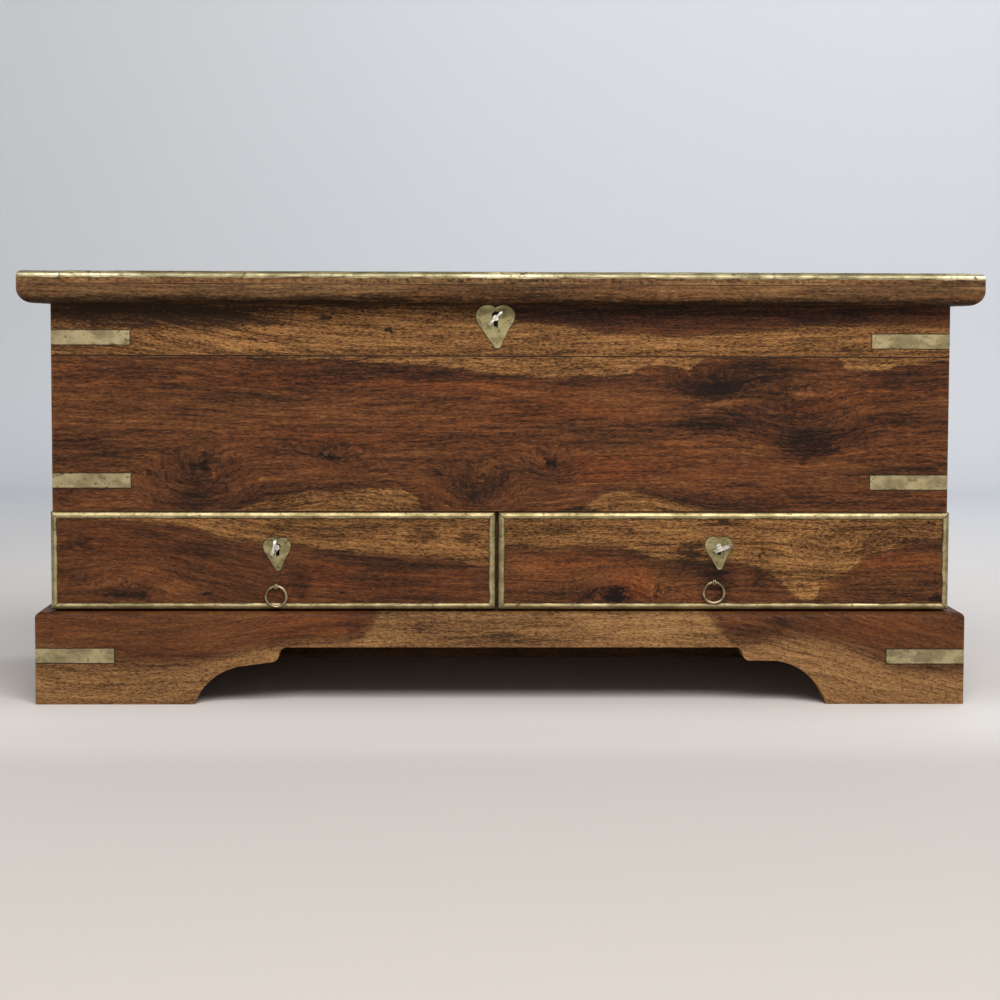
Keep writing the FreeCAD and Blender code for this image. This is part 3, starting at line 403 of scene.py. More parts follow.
# The wood's patterns, from its slow sway to its flecks
FEATHER = Pattern((70, 160, 80), 1, 3, 0.65)
SWAY = Pattern((2.1, 7, 5), 2, rough=0.5)
RIPPLE = Pattern((12, 30, 18), 3, rough=0.5)
FIGURE = (Pattern((3.5, 27, 14), 4, 3, 0.55, 0.72), Pattern((7, 100, 50), 5, weight=0.34),
          Pattern((19, 280, 130), 6, weight=0.80), Pattern((150, 740, 260), 7, weight=1.00))
PORES = Pattern((220, 860, 240), 8, 1, 0.5, -0.12)
PORE_EDGE = (0.53, 0.64)
RINGS = Pattern((1.1, 24, 9), 9, 1, 0.4, -0.10)
LINES_IN_RING = 18.0
LINE_EDGE = (0.10, 0.0)
HUE = Pattern((4.4, 26, 12), 10, 3)
RED_EDGE = (0.44, 0.62)
RUBBING = Pattern((30, 30, 30), 11, 3)
HAND_PLANE = Pattern((9, 16, 16), 12, 1, 0.5)
FLECKS = Pattern((55, 260, 160), 13, 1, 0.5)


@dataclass(frozen=True)
class SapLine:
    """The line where golden sapwood meets the dark heart, with lengths in metres."""

    points: tuple[Point, ...]
    gold_above: bool
    soft: float = 0.006
    rim: float = 0.026
    thin: float = 0.003
    thin_dark: float = 0.9
    dark: float = -0.10


@dataclass(frozen=True)
class Knot:
    """A knot or swirl: the grain rises round it in closed rings."""

    along: float
    across: float
    wide: float
    tall: float
    lift: float
    dark: float = 0.5
    turn: float = 0.0


@dataclass(frozen=True)
class Patch:
    """A patch of paler or darker wood, or of painted shade."""

    along: float
    across: float
    wide: float
    tall: float
    tone: float
    turn: float = 0.0


def drawn(kind: type, *rows: tuple[float, ...]) -> tuple[Knot | Patch, ...]:
    """Make a knot or a patch from each row of its measures."""
    return tuple(kind(*row) for row in rows)


@dataclass(frozen=True)
class Timber:
    """Oiled or dry board timber, with its own figure."""

    name: str
    seed: float
    grain: Grain = Grain.FRONT
    heart: Stops = HEARTWOOD
    red: Stops = REDWOOD
    sap: Stops = SAPWOOD
    flow: tuple[Point, ...] = ()
    blushes: tuple[Patch, ...] = ()
    sap_lines: tuple[SapLine, ...] = ()
    knots: tuple[Knot, ...] = ()
    patches: tuple[Patch, ...] = ()
    tone: float = 0.5
    figure: float = 0.030
    contrast: float = 1.0
    golden: float = 0.0
    reddish: float = 0.24
    seam: float = 0.0
    roughness: float = 0.50
    shine: float = 0.11

    def spot(self, graph: Graph, plane: Value, mark: Knot | Patch) -> Socket:
        """Measure the distance from a mark's middle.

        Args:
            graph: the material's nodes.
            plane: the coordinates on the board's face.
            mark: the knot or patch.

        Returns:
            0 at its middle and 1 at its rim.
        """
        near = graph.make("Mapping", plane, (mark.along, mark.across, 0.0),
                          (0.0, 0.0, math.radians(mark.turn)), (mark.wide, mark.tall, 1.0),
                          vector_type="TEXTURE")
        return graph.make("VectorMath", near, operation="LENGTH", out=1)

    def marks(self, graph: Graph, plane: Value, marks: tuple[Patch, ...], tone: Value) -> Value:
        """Add each patch's tone to a value.

        Args:
            graph: the material's nodes.
            plane: the coordinates on the board's face, shaken by the fibres.
            marks: the patches.
            tone: the value to add to.

        Returns:
            The sum.
        """
        for mark in marks:
            away = self.spot(graph, plane, mark)
            tone = graph.math("MULTIPLY_ADD", graph.fade(away, 1.0, 0.15), mark.tone, tone)
        return tone

    def rise(self, graph: Graph, along: Value, plane: Value, height: Value
             ) -> tuple[Value, Value]:
        """Let the grain follow the board's drawn flow and rise round its knots.

        Args:
            graph: the material's nodes.
            along: the place along the grain.
            plane: the coordinates on the board's face, shaken by the fibres.
            height: the place across the grain, with its sway.

        Returns:
            The height that the grain has grown to, and how dark the knots make it.
        """
        if self.flow:
            height = graph.math("SUBTRACT", height, graph.curve(along, self.flow))
        shadow: Value = 0.0
        for knot in self.knots:
            away = self.spot(graph, plane, knot)
            height = graph.math("MULTIPLY_ADD", graph.fade(away, 1.0, 0.0), knot.lift, height)
            shadow = graph.math("MULTIPLY_ADD", graph.fade(away, 0.9, 0.3), knot.dark, shadow)
        return height, shadow

    def gold(self, graph: Graph, along: Value, across: Value, hue: Value
             ) -> tuple[Value, Value]:
        """Find the share of golden sapwood, and the dark rim of the heart beside it.

        Args:
            graph: the material's nodes.
            along: the place along the grain.
            across: the place across it, feathered by the fibres.
            hue: the slow pattern that scatters gold where no line is drawn.

        Returns:
            0 in the heart and 1 in the sapwood, and 1 where the heart is darkest.
        """
        share: Value = 0.0
        rim: Value = 0.0
        if self.golden:
            start = 0.70 - 0.40 * self.golden
            share = graph.fade(hue, start, start + 0.05)
        for line in self.sap_lines:
            way = graph.math("SUBTRACT", across, graph.curve(along, line.points))
            turn = 1 if line.gold_above else -1
            share = graph.math("MAXIMUM", share, graph.fade(way, -line.soft * turn,
                                                            line.soft * turn))
            rim = graph.math("MAXIMUM", rim, graph.fade(way, -line.rim * turn, 0.0))
            thin = graph.fade(graph.math("ABSOLUTE", way), line.thin, 0.0)
            rim = graph.math("ADD", rim, graph.math("MULTIPLY", thin, line.thin_dark))
        return share, rim

    def aged(self, graph: Graph, place: Value, node: str, colour: Value, rubbing: Value
             ) -> Value:
        """Wear a board's edges pale, and darken the joint beside it.

        Args:
            graph: the material's nodes.
            place: the object's coordinates.
            node: the CAD node whose box gives the board's edges.
            colour: the wood's colour.
            rubbing: the pattern that makes the wear uneven.

        Returns:
            The aged colour.
        """
        depths = graph.depths(place, *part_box(node), 0, 1, 2)
        pairs = [graph.math("MAXIMUM", depths[i], depths[(i + 1) % 3]) for i in range(3)]
        edge = graph.math("MINIMUM", graph.math("MINIMUM", pairs[0], pairs[1]), pairs[2])
        ragged = graph.math("SUBTRACT", edge, graph.swing(rubbing, 0.006, 0.42))
        colour = graph.stained(colour, ragged, WORN_EDGE)
        if self.seam:
            beside = graph.apart(graph.axes(place)[2], self.seam)
            colour = graph.stained(colour, beside, DARK_SEAM)
        return colour

    def material(self, node: str) -> Finish:
        """Make the material for one board.

        Args:
            node: the CAD node whose box gives the board's edges.

        Returns:
            The finished material.
        """
        graph = Graph(f"{self.name}_{node}")
        place = graph.place()
        split = graph.axes(place)
        along, across, through = (split[axis] for axis in self.grain.value)
        local = graph.make("CombineXYZ", along, across, through)

        feather = graph.cloud(local, FEATHER, self.seed, 1)
        shake = graph.make("VectorMath", feather, (0.5, 0.5, 0.5), operation="SUBTRACT")
        flat = graph.make("CombineXYZ", along, across, 0.0)
        plane = graph.make("VectorMath", shake, (0.050, 0.020, 0.0), flat,
                           operation="MULTIPLY_ADD")
        sway = graph.cloud(local, SWAY, self.seed)
        ripple = graph.cloud(local, RIPPLE, self.seed)
        height, shadow = self.rise(
            graph, along, plane,
            graph.total(across, graph.swing(sway, self.figure), graph.swing(ripple, 0.006)))
        grown = graph.make("CombineXYZ", along, height, through)

        figure = [graph.cloud(grown, pattern, self.seed) for pattern in FIGURE]
        _, streak, vein, fibre = figure
        pores, rings, hue, flecks = (graph.cloud(grown, pattern, self.seed)
                                     for pattern in (PORES, RINGS, HUE, FLECKS))
        dash = graph.fade(pores, *PORE_EDGE)
        lines = graph.math("PINGPONG", graph.math("MULTIPLY", rings, LINES_IN_RING), 0.5)
        feathered = graph.total(across, graph.swing(streak, 0.004), graph.swing(vein, 0.003),
                                graph.swing(ripple, 0.008))
        share, rim = self.gold(graph, along, feathered, hue)
        mottle = graph.total(
            *(graph.swing(layer, pattern.weight) for layer, pattern in zip(figure, FIGURE)),
            graph.math("MULTIPLY", graph.fade(lines, *LINE_EDGE), RINGS.weight))
        grit = graph.math("MULTIPLY_ADD", share, PORES.weight, PORES.weight)
        tone = graph.total(self.tone, graph.math("MULTIPLY", mottle, self.contrast),
                           graph.math("MULTIPLY", dash, grit),
                           graph.math("MULTIPLY", rim, SapLine.dark))
        tone = self.marks(graph, plane, self.patches, tone)
        tone = graph.math("SUBTRACT", tone, shadow)
        warmth = self.marks(graph, plane, self.blushes,
                            graph.math("MULTIPLY", graph.fade(hue, *RED_EDGE), self.reddish))

        heart = graph.blend(warmth, graph.ramp(tone, self.heart), graph.ramp(tone, self.red))
        colour = graph.blend(share, heart, graph.ramp(tone, self.sap))
        colour = graph.stained(colour, flecks, PALE_FLECK)
        rubbing = graph.cloud(place, RUBBING, self.seed)
        colour = self.aged(graph, place, node, colour, rubbing)

        gloss = graph.total(self.roughness, graph.swing(rubbing, 0.20),
                            graph.swing(fibre, 0.12), graph.math("MULTIPLY", dash, 0.12))
        normal = graph.bump(graph.cloud(place, HAND_PLANE, self.seed), 0.22, 0.004)
        hair = graph.total(graph.math("MULTIPLY", fibre, 0.6), graph.math("MULTIPLY", vein, 0.4),
                           graph.math("MULTIPLY", dash, -0.7))
        normal = graph.bump(hair, 0.28, 0.0005, normal)
        return graph.surface(colour, gloss, normal, Specular_IOR_Level=self.shine)


@dataclass(frozen=True)
class Inset:
    """The size of a pair of corner straps, for the dirt along their rims."""

    half: float
    front: float
    lows: Point
    height: float
    length: float

    def rim(self, graph: Graph, place: Value) -> Socket:
        """Measure the way to the nearest rim of the straps.

        Args:
            graph: the material's nodes.
            place: the coordinates.

        Returns:
            The distance in metres.
        """
        across, back, up = graph.axes(place)
        right = graph.math("GREATER_THAN", across, 0.0)
        middle = graph.math("MULTIPLY_ADD", right, self.lows[1] - self.lows[0],
                            self.lows[0] + self.height / 2)
        rise = graph.math("SUBTRACT", self.height / 2, graph.apart(up, middle))
        tip = graph.math("SUBTRACT", graph.math("ABSOLUTE", across), self.half - self.length)
        end = graph.math("SUBTRACT", self.front + self.length, back)
        return graph.math("MINIMUM", rise, graph.math("MINIMUM", tip, end))


# The metal's patterns, from its clouds of tarnish to its ragged inner edges
TARNISH = Pattern((34, 60, 60), 0, 4)
GRIME = Pattern((120, 150, 150), 1, 4, 0.65)
SPECKS = Pattern((420, 420, 420), 2, rough=0.5)
SCRATCHES = Pattern((60, 900, 900), 3)
BEATEN = Pattern((70, 90, 90), 4, rough=0.45)
RAGGED = Pattern((60, 60, 60), 6, 3)
TARNISH_EDGE = (0.38, 0.62)
RIM_DIRT = Stain((0.0014, 0.0006), 0.8, (46, 36, 22))
JOINT_DIRT_AND_SHADE = Stain((0.0009, 0.0003), 0.85, (44, 34, 20))
INNER_EDGE = (0.0064, 0.0080)
# The pale colour laid at the shines: painted highlight
RUBBED_AND_PAINTED_SHINE = Stain((0.70, 0.40), 0.75, (226, 214, 176))


@dataclass(frozen=True)
class Metal:
    """Beaten, aged or worn metal."""

    name: str
    seed: float
    bright: Shade
    dull: Shade
    stain: Shade
    stained: float = 0.56
    roughness: float = 0.36
    dents: float = 0.4
    # Spots along x, each with its reach, where a highlight is painted
    shines: tuple[Point, ...] = ()
    mitred: bool = False
    inset: Inset | None = None

    def joints(self, graph: Graph, place: Value, node: str) -> Socket:
        """Find the dark mitre lines of a brass frame, and the dark line along its inner edge:
        dirt, and painted shade of the gap where the brass meets the wood.

        Args:
            graph: the material's nodes.
            place: the coordinates.
            node: the frame's CAD node.

        Returns:
            1 where it is dark.
        """
        depths = graph.depths(place, *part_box(node), 0, 2)
        mitre = graph.apart(*depths)
        ragged = graph.cloud(place, RAGGED, self.seed)
        inward = graph.math("ADD", graph.math("MINIMUM", *depths), graph.swing(ragged, 0.004))
        return graph.math("MAXIMUM", graph.fade(mitre, *JOINT_DIRT_AND_SHADE.edge),
                          graph.fade(inward, *INNER_EDGE))

    def material(self, node: str) -> Finish:
        """Make the material.

        Args:
            node: the piece that it is for.

        Returns:
            The finished material.
        """
        graph = Graph(f"{self.name}_{node}")
        place = graph.place()
        tarnish, grime, specks, scratches, beaten = (
            graph.cloud(place, pattern, self.seed)
            for pattern in (TARNISH, GRIME, SPECKS, SCRATCHES, BEATEN))
        colour = graph.blend(graph.fade(tarnish, *TARNISH_EDGE), linear(self.dull),
                             linear(self.bright))
        for value, stain in (
                (grime, Stain((self.stained, self.stained + 0.16), 0.75, self.stain)),
                (specks, Stain((0.70, 0.80), 0.7, self.stain)),
                (scratches, Stain((0.56, 0.70), 0.35, self.bright))):
            colour = graph.stained(colour, value, stain)
        gloss = graph.total(self.roughness, graph.swing(tarnish, -0.25),
                            graph.swing(grime, 0.35), graph.swing(scratches, 0.15))
        # At the listed spots along x the brass is paler and glossier: the paler colour is painted
        # highlight, the lower roughness is rubbed brass
        for spot, reach in self.shines:
            away = graph.apart(graph.axes(place)[0], spot)
            rubbed_and_painted_shine = graph.math("MULTIPLY", graph.fade(away, reach, 0.2 * reach),
                                graph.fade(grime, *RUBBED_AND_PAINTED_SHINE.edge))
            colour = graph.tint(colour, rubbed_and_painted_shine, RUBBED_AND_PAINTED_SHINE.strength, RUBBED_AND_PAINTED_SHINE.shade)
            gloss = graph.math("MULTIPLY_ADD", rubbed_and_painted_shine, -0.12, gloss)
        if self.inset:
            near = graph.math("SUBTRACT", self.inset.rim(graph, place),
                              graph.swing(grime, 0.0014))
            colour = graph.stained(colour, near, RIM_DIRT)
        # Mitres darkened as dirty joints, and the inner edge as dirt with painted shade
        if self.mitred:
            colour = graph.tint(colour, self.joints(graph, place, node), JOINT_DIRT_AND_SHADE.strength,
                                JOINT_DIRT_AND_SHADE.shade)
        normal = graph.bump(beaten, self.dents, 0.0012)
        normal = graph.bump(scratches, 0.2, 0.0002, normal)
        return graph.surface(colour, gloss, normal, Metallic=0.9)


STRAP_BRASS = Metal("strap_brass", 3.0, (174, 160, 122), (134, 122, 90), (84, 72, 48),
                    stained=0.54, roughness=0.50, dents=0.12)
EDGE_BRASS = Metal("edge_brass", 7.0, (166, 156, 122), (134, 124, 92), (76, 66, 44),
                   stained=0.54, roughness=0.46, dents=0.22,
                   shines=((-0.53, 0.09), (0.01, 0.08), (0.58, 0.05)))
TRIM_BRASS = Metal("trim_brass", 9.0, (176, 162, 122), (138, 124, 87), (68, 56, 34),
                   stained=0.54, roughness=0.45, dents=0.30, mitred=True)
PLATE_BRASS = Metal("plate_brass", 12.0, (162, 152, 112), (124, 114, 78), (70, 60, 38),
                    stained=0.52, roughness=0.44, dents=0.25)
RING_BRASS = Metal("ring_brass", 17.0, (172, 156, 124), (120, 106, 78), (70, 56, 38),
                   roughness=0.32, dents=0.2)
PIN_BRASS = Metal("pin_brass", 21.0, (104, 86, 54), (74, 60, 38), (38, 30, 20), roughness=0.5)
KEY_STEEL = Metal("key_steel", 25.0, (226, 222, 214), (188, 184, 174), (120, 108, 92),
                  stained=0.62, roughness=0.30, dents=0.12)
LOCK_IRON = Metal("lock_iron", 31.0, (92, 86, 80), (62, 57, 52), (84, 50, 30),
                  stained=0.5, roughness=0.5)


@dataclass(frozen=True)
class DirtAndShade:
    """Old waxy dirt in the corners, also laid round the lock plates as painted shade."""

    shade: Shade = (34, 24, 17)
    pale: Shade = (62, 46, 32)
    crumbs: Pattern = Pattern((240, 240, 240), 0, 3)

    def material(self) -> Finish:
        """Make the material.

        Returns:
            The finished material.
        """
        graph = Graph("old_dirt_and_shade")
        cloud = graph.cloud(graph.place(), self.crumbs, 2.0)
        colour = graph.blend(graph.fade(cloud, 0.35, 0.7), linear(self.shade), linear(self.pale))
        return graph.surface(colour, graph.total(0.8, graph.swing(cloud, 0.2)),
                             graph.bump(cloud, 0.4, 0.0003), Specular_IOR_Level=0.2)


DIRT_AND_SHADE = DirtAndShade()

# The gap that is one point, in metres, and the folds that are flat, eased or kept sharp
WELD = 0.000002
FLAT_ANGLE = math.radians(0.4)
EASED_ANGLE = math.radians(28)
SHARP_ANGLE = math.radians(40)
MOST_CUTS = 100


def only(piece: Solid) -> None:
    """Select one piece and nothing else.

    Args:
        piece: the piece.
    """
    bpy.ops.object.select_all(action="DESELECT")
    piece.select_set(True)
    bpy.context.view_layer.objects.active = piece


def pick(piece: Solid, element: Element, where: Callable[[object], bool]) -> None:
    """Select the points, lines or faces of a piece that a test says, and no others.

    Args:
        piece: the piece to change.
        element: what is picked.
        where: the test.
    """
    mode, group = element.value
    only(piece)
    bpy.ops.object.mode_set(mode="EDIT")
    bpy.ops.mesh.select_mode(type=mode)
    bpy.ops.mesh.select_all(action="DESELECT")
    bpy.ops.object.mode_set(mode="OBJECT")
    for part in getattr(piece.data, group):
        part.select = where(part)


def shape(piece: Solid, step: Callable[..., object], **settings: object) -> None:
    """Run one edit-mode step on what is picked in a piece.

    Args:
        piece: the piece to change.
        step: the operator.
        settings: its options.
    """
    only(piece)
    bpy.ops.object.mode_set(mode="EDIT")
    step(**settings)
    bpy.ops.object.mode_set(mode="OBJECT")


def ends(piece: Solid, line: bpy.types.MeshEdge) -> list[Vector]:
    """The two ends of a line in a mesh."""
    return [piece.data.vertices[i].co for i in line.vertices]


def merged(node: str, name: str) -> Solid:
    """Copy a CAD node and join its loose triangles into clean faces.

    Args:
        node: the node to copy.
        name: the new piece's name.

    Returns:
        The copy, with nothing on it yet.
    """
    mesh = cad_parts[node].data.copy()
    mesh.name = name
    mesh.materials.clear()
    piece = bpy.data.objects.new(name, mesh)
    bpy.context.scene.collection.objects.link(piece)
    only(piece)
    bpy.ops.mesh.customdata_custom_splitnormals_clear()
    bpy.ops.object.mode_set(mode="EDIT")
    bpy.ops.mesh.select_mode(type="VERT")
    bpy.ops.mesh.select_all(action="SELECT")
    bpy.ops.mesh.remove_doubles(threshold=WELD)
    bpy.ops.mesh.dissolve_limited(angle_limit=FLAT_ANGLE)
    bpy.ops.mesh.select_all(action="DESELECT")
    bpy.ops.object.mode_set(mode="OBJECT")
    return piece


def modify(piece: Solid, kind: str, **settings: object) -> None:
    """Add a modifier and apply it at once.

    Args:
        piece: the piece to change.
        kind: the modifier's type.
        settings: its options.
    """
    only(piece)
    modifier = piece.modifiers.new(kind.title(), kind)
    for key, setting in settings.items():
        setattr(modifier, key, setting)
    bpy.ops.object.modifier_apply(modifier=modifier.name)


def smooth(piece: Solid) -> None:
    """Shade a piece smooth, with its flat faces kept flat and its sharp folds kept sharp.

    Args:
        piece: the piece to shade.
    """
    only(piece)
    bpy.ops.object.shade_smooth_by_angle(angle=SHARP_ANGLE)
    modify(piece, "WEIGHTED_NORMAL", weight=100, keep_sharp=True)


def ease(piece: Solid, width: float) -> None:
    """Round a piece's sharp edges.

    Args:
        piece: the piece to change.
        width: the rounding's width in metres.
    """
    modify(piece, "BEVEL", width=width, segments=2, limit_method="ANGLE",
           angle_limit=EASED_ANGLE, use_clamp_overlap=True, miter_outer="MITER_ARC")
    smooth(piece)


def ribs(piece: Solid, axis: int, step: float) -> None:
    """Cut a piece's long faces into short lengths.

    Args:
        piece: the piece to change.
        axis: its long axis.
        step: the length of each part, in metres.
    """
    def run(line: bpy.types.MeshEdge) -> Vector:
        """The way from one end of a line to the other."""
        start, end = ends(piece, line)
        return end - start

    def long(line: bpy.types.MeshEdge) -> bool:
        """Whether a line runs along the axis for more than five parts."""
        way = run(line)
        return abs(way[axis]) > 0.9 * way.length and way.length > 5 * step

    pick(piece, Element.LINES, long)
    longest = max(run(line).length for line in piece.data.edges if line.select)
    shape(piece, bpy.ops.mesh.subdivide, number_cuts=min(MOST_CUTS, int(longest / step)))


def nudge(piece: Solid, where: Callable[[Vector], bool], shift: Triple) -> None:
    """Move the points of a piece that lie where the test says."""
    pick(piece, Element.POINTS, lambda point: where(point.co))
    shape(piece, bpy.ops.transform.translate, value=shift)


def slice_at(piece: Solid, axis: int, place: float) -> None:
    """Cut a new line of points right through a piece at one place on an axis.

    Args:
        piece: the piece to change.
        axis: the axis that the cut is square to.
        place: where it lies on the axis.
    """
    way = [float(index == axis) for index in range(3)]
    pick(piece, Element.POINTS, lambda point: True)
    shape(piece, bpy.ops.mesh.bisect, plane_co=[place * part for part in way], plane_no=way)


def waver(piece: Solid, where: Callable[[Vector], bool], push: float, span: float,
          way: Push) -> None:
    """Make part of a piece uneven, as hand work is.

    Args:
        piece: the piece to change.
        where: says whether a point moves.
        push: the most that a point may move each way, doubled, in metres.
        span: the length of one hollow, in metres.
        way: the direction in which points move.
    """
    group = piece.vertex_groups.new(name="uneven")
    chosen = [corner.index for corner in piece.data.vertices if where(corner.co)]
    group.add(chosen, 1.0, "REPLACE")
    cloud = bpy.data.textures.new("uneven", "CLOUDS")
    cloud.noise_scale = span
    modify(piece, "DISPLACE", texture=cloud, strength=push, mid_level=0.5,
           direction=way.value, vertex_group=group.name, texture_coords="LOCAL")
    piece.vertex_groups.clear()
    bpy.data.textures.remove(cloud)


def grime(piece: Solid, low: Vector, high: Vector, skin: float, axis: int = 1) -> None:
    """Darken the cut edges of a recess with old dirt.

    Args:
        piece: the board.
        low: the lowest corner of what lies in the recess.
        high: its highest corner.
        skin: the place of the board's face on the axis.
        axis: the axis that the face looks along.
    """
    if len(piece.data.materials) < 2:
        piece.data.materials.append(DIRT_AND_SHADE.material())
    rim = 1.3 * MM
    for face in piece.data.polygons:
        middle = face.center
        inside = all(low[i] - rim < middle[i] < high[i] + rim for i in range(3))
        if inside and abs(middle[axis] - skin) > 0.03 * MM:
            face.material_index = 1


def settle(piece: Solid, body: Body, slot: Slot, finish: Finish, *nodes: str) -> Solid:
    """Give a piece its finish and its body.

    Args:
        piece: the finished mesh.
        body: what it moves with.
        slot: the record's slot for its finish; not used.
        finish: its material.
        nodes: the CAD nodes that it stands for.

    Returns:
        The same piece.
    """
    piece.data.materials.clear()
    piece.data.materials.append(finish)
    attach(piece, body.value)
    if nodes:
        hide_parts(*nodes)
    LOG.info("%s rides on %s", piece.name, body.value)
    return piece


def dress(node: str, finish: Finish) -> None:
    """Give a CAD node that stays in sight its finish.

    Args:
        node: the CAD node.
        finish: its material.
    """
    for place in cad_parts[node].material_slots:
        place.material = finish
    LOG.info("%s keeps its shape", node)


def board(node: str, timber: Timber, body: Body, slot: Slot = Slot.ROSEWOOD,
          width: float = 0.7 * MM) -> Solid:
    """Plane a board with softened edges from its CAD node.

    Args:
        node: the board's CAD node.
        timber: its wood.
        body: what it moves with.
        slot: the record's slot.
        width: how far its edges are eased, in metres.

    Returns:
        The board.
    """
    piece = merged(node, node + "_planed")
    ease(piece, width)
    return settle(piece, body, slot, timber.material(node), node)


def rounded(node: str, body: Body, slot: Slot, metal: Metal, width: float,
            ending: str = "_rounded") -> None:
    """Round a metal piece's edges.

    Args:
        node: the piece's CAD node.
        body: what it moves with.
        slot: the record's slot.
        metal: its finish.
        width: the rounding, in metres.
        ending: what its name adds to the node's.
    """
    piece = merged(node, node + ending)
    ease(piece, width)
    settle(piece, body, slot, metal.material(node), node)


def plate(node: str, body: Body) -> None:
    """Cut a lock plate with a filed rim, and lay a thin dark rim round it: old dirt, and painted
    shade where the proud plate meets the wood.

    Args:
        node: the plate's CAD node.
        body: what it moves with.
    """
    rounded(node, body, Slot.BRASS, PLATE_BRASS, 0.45 * MM, "_filed")
    low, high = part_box(node)
    # A thin dark sheet behind the plate and a little wider: dirt, and painted contact shade round
    # it
    dirt_and_shade_rim = merged(node, node + "_wax")
    pick(dirt_and_shade_rim, Element.POINTS, lambda point: True)
    shape(dirt_and_shade_rim, bpy.ops.transform.resize, value=(1.035, 0.12, 1.035),
          center_override=((low[0] + high[0]) / 2, high[1], (low[2] + high[2]) / 2))
    settle(dirt_and_shade_rim, body, Slot.ROSEWOOD, DIRT_AND_SHADE.material())


def forward(face: bpy.types.MeshPolygon) -> bool:
    """Whether a face looks along -Y."""
    return face.normal.y < -0.9


@dataclass(frozen=True)
class Pin:
    """A small domed pin head, filed nearly flush."""

    radius: float = 0.8 * MM
    proud: float = 0.22 * MM
    root: float = 1.5 * MM
    sides: int = 10

    def pattern(self) -> Solid:
        """Model one pin that points along -Y, with its face at the origin.

        Returns:
            The pin.
        """
        bpy.ops.object.select_all(action="DESELECT")
        bpy.ops.mesh.primitive_cylinder_add(
            vertices=self.sides, radius=self.radius, depth=self.root + self.proud,
            location=(0, (self.root - self.proud) / 2, 0), rotation=(math.pi / 2, 0, 0))
        piece = bpy.context.active_object
        bpy.ops.object.transform_apply(location=True, rotation=True, scale=True)
        pick(piece, Element.FACES, forward)
        shape(piece, bpy.ops.mesh.bevel, offset=self.proud * 0.9, segments=2)
        bpy.ops.object.shade_smooth_by_angle(angle=math.radians(50))
        return piece

    def row(self, name: str, places: list[Vector], ways: list[Vector]) -> Solid:
        """Set pins at several places.

        Args:
            name: the row's name.
            places: where each head's face lies.
            ways: which way each head looks.

        Returns:
            All the pins as one piece.
        """
        first = self.pattern()
        copies = []
        for place, way in zip(places, ways):
            pin = bpy.data.objects.new(name, first.data.copy())
            bpy.context.scene.collection.objects.link(pin)
            turn = FORWARD.rotation_difference(way).to_matrix().to_4x4()
            pin.data.transform(Matrix.Translation(place) @ turn)
            copies.append(pin)
        bpy.data.objects.remove(first)
        only(copies[0])
        for pin in copies:
            pin.select_set(True)
        bpy.ops.object.join()
        copies[0].name = copies[0].data.name = name
        return copies[0]


@dataclass(frozen=True)
class Screw(Pin):
    """A countersunk screw head with a slot across it."""

    radius: float = 2.4 * MM
    proud: float = 0.12 * MM
    root: float = 1.6 * MM
    sides: int = 16
    slot_width: float = 0.7 * MM
    slot_depth: float = 0.8 * MM

    def pattern(self) -> Solid:
        """Model one screw that points along -Y, with its face at the origin.

        Returns:
            The screw.
        """
        piece = super().pattern()
        half = self.slot_width / 2
        for side in (-half, half):
            pick(piece, Element.FACES, forward)
            shape(piece, bpy.ops.mesh.bisect, plane_co=(side, 0, 0), plane_no=(1, 0, 0))
        pick(piece, Element.FACES, lambda face: forward(face) and abs(face.center.x) < half)
        shape(piece, bpy.ops.mesh.extrude_region_move,
              TRANSFORM_OT_translate={"value": (0, self.slot_depth, 0)})
        return piece


def screws(name: str, body: Body, slot: Slot, metal: Metal, way: Triple,
           places: list[Triple]) -> None:
    """Drive screws whose heads all look the same way.

    Args:
        name: the screws' name.
        body: what they move with.
        slot: the record's slot.
        metal: their finish.
        way: which way the heads look.
        places: each head's place, in millimetres.
    """
    row = Screw().row(name, [Vector(place) * MM for place in places],
                      [Vector(way)] * len(places))
    settle(row, body, slot, metal.material(name))


def pins(name: str, body: Body, face: float, spots: tuple[Point, ...]) -> None:
    """Drive small pins into a plate.

    Args:
        name: the pins' name.
        body: what they move with.
        face: the plate's face, in metres.
        spots: each pin's place on the front, in millimetres.
    """
    places = [Vector((across * MM, face, up * MM)) for across, up in spots]
    row = Pin().row(name, places, [FORWARD] * len(places))
    settle(row, body, Slot.BRASS, PIN_BRASS.material(name))


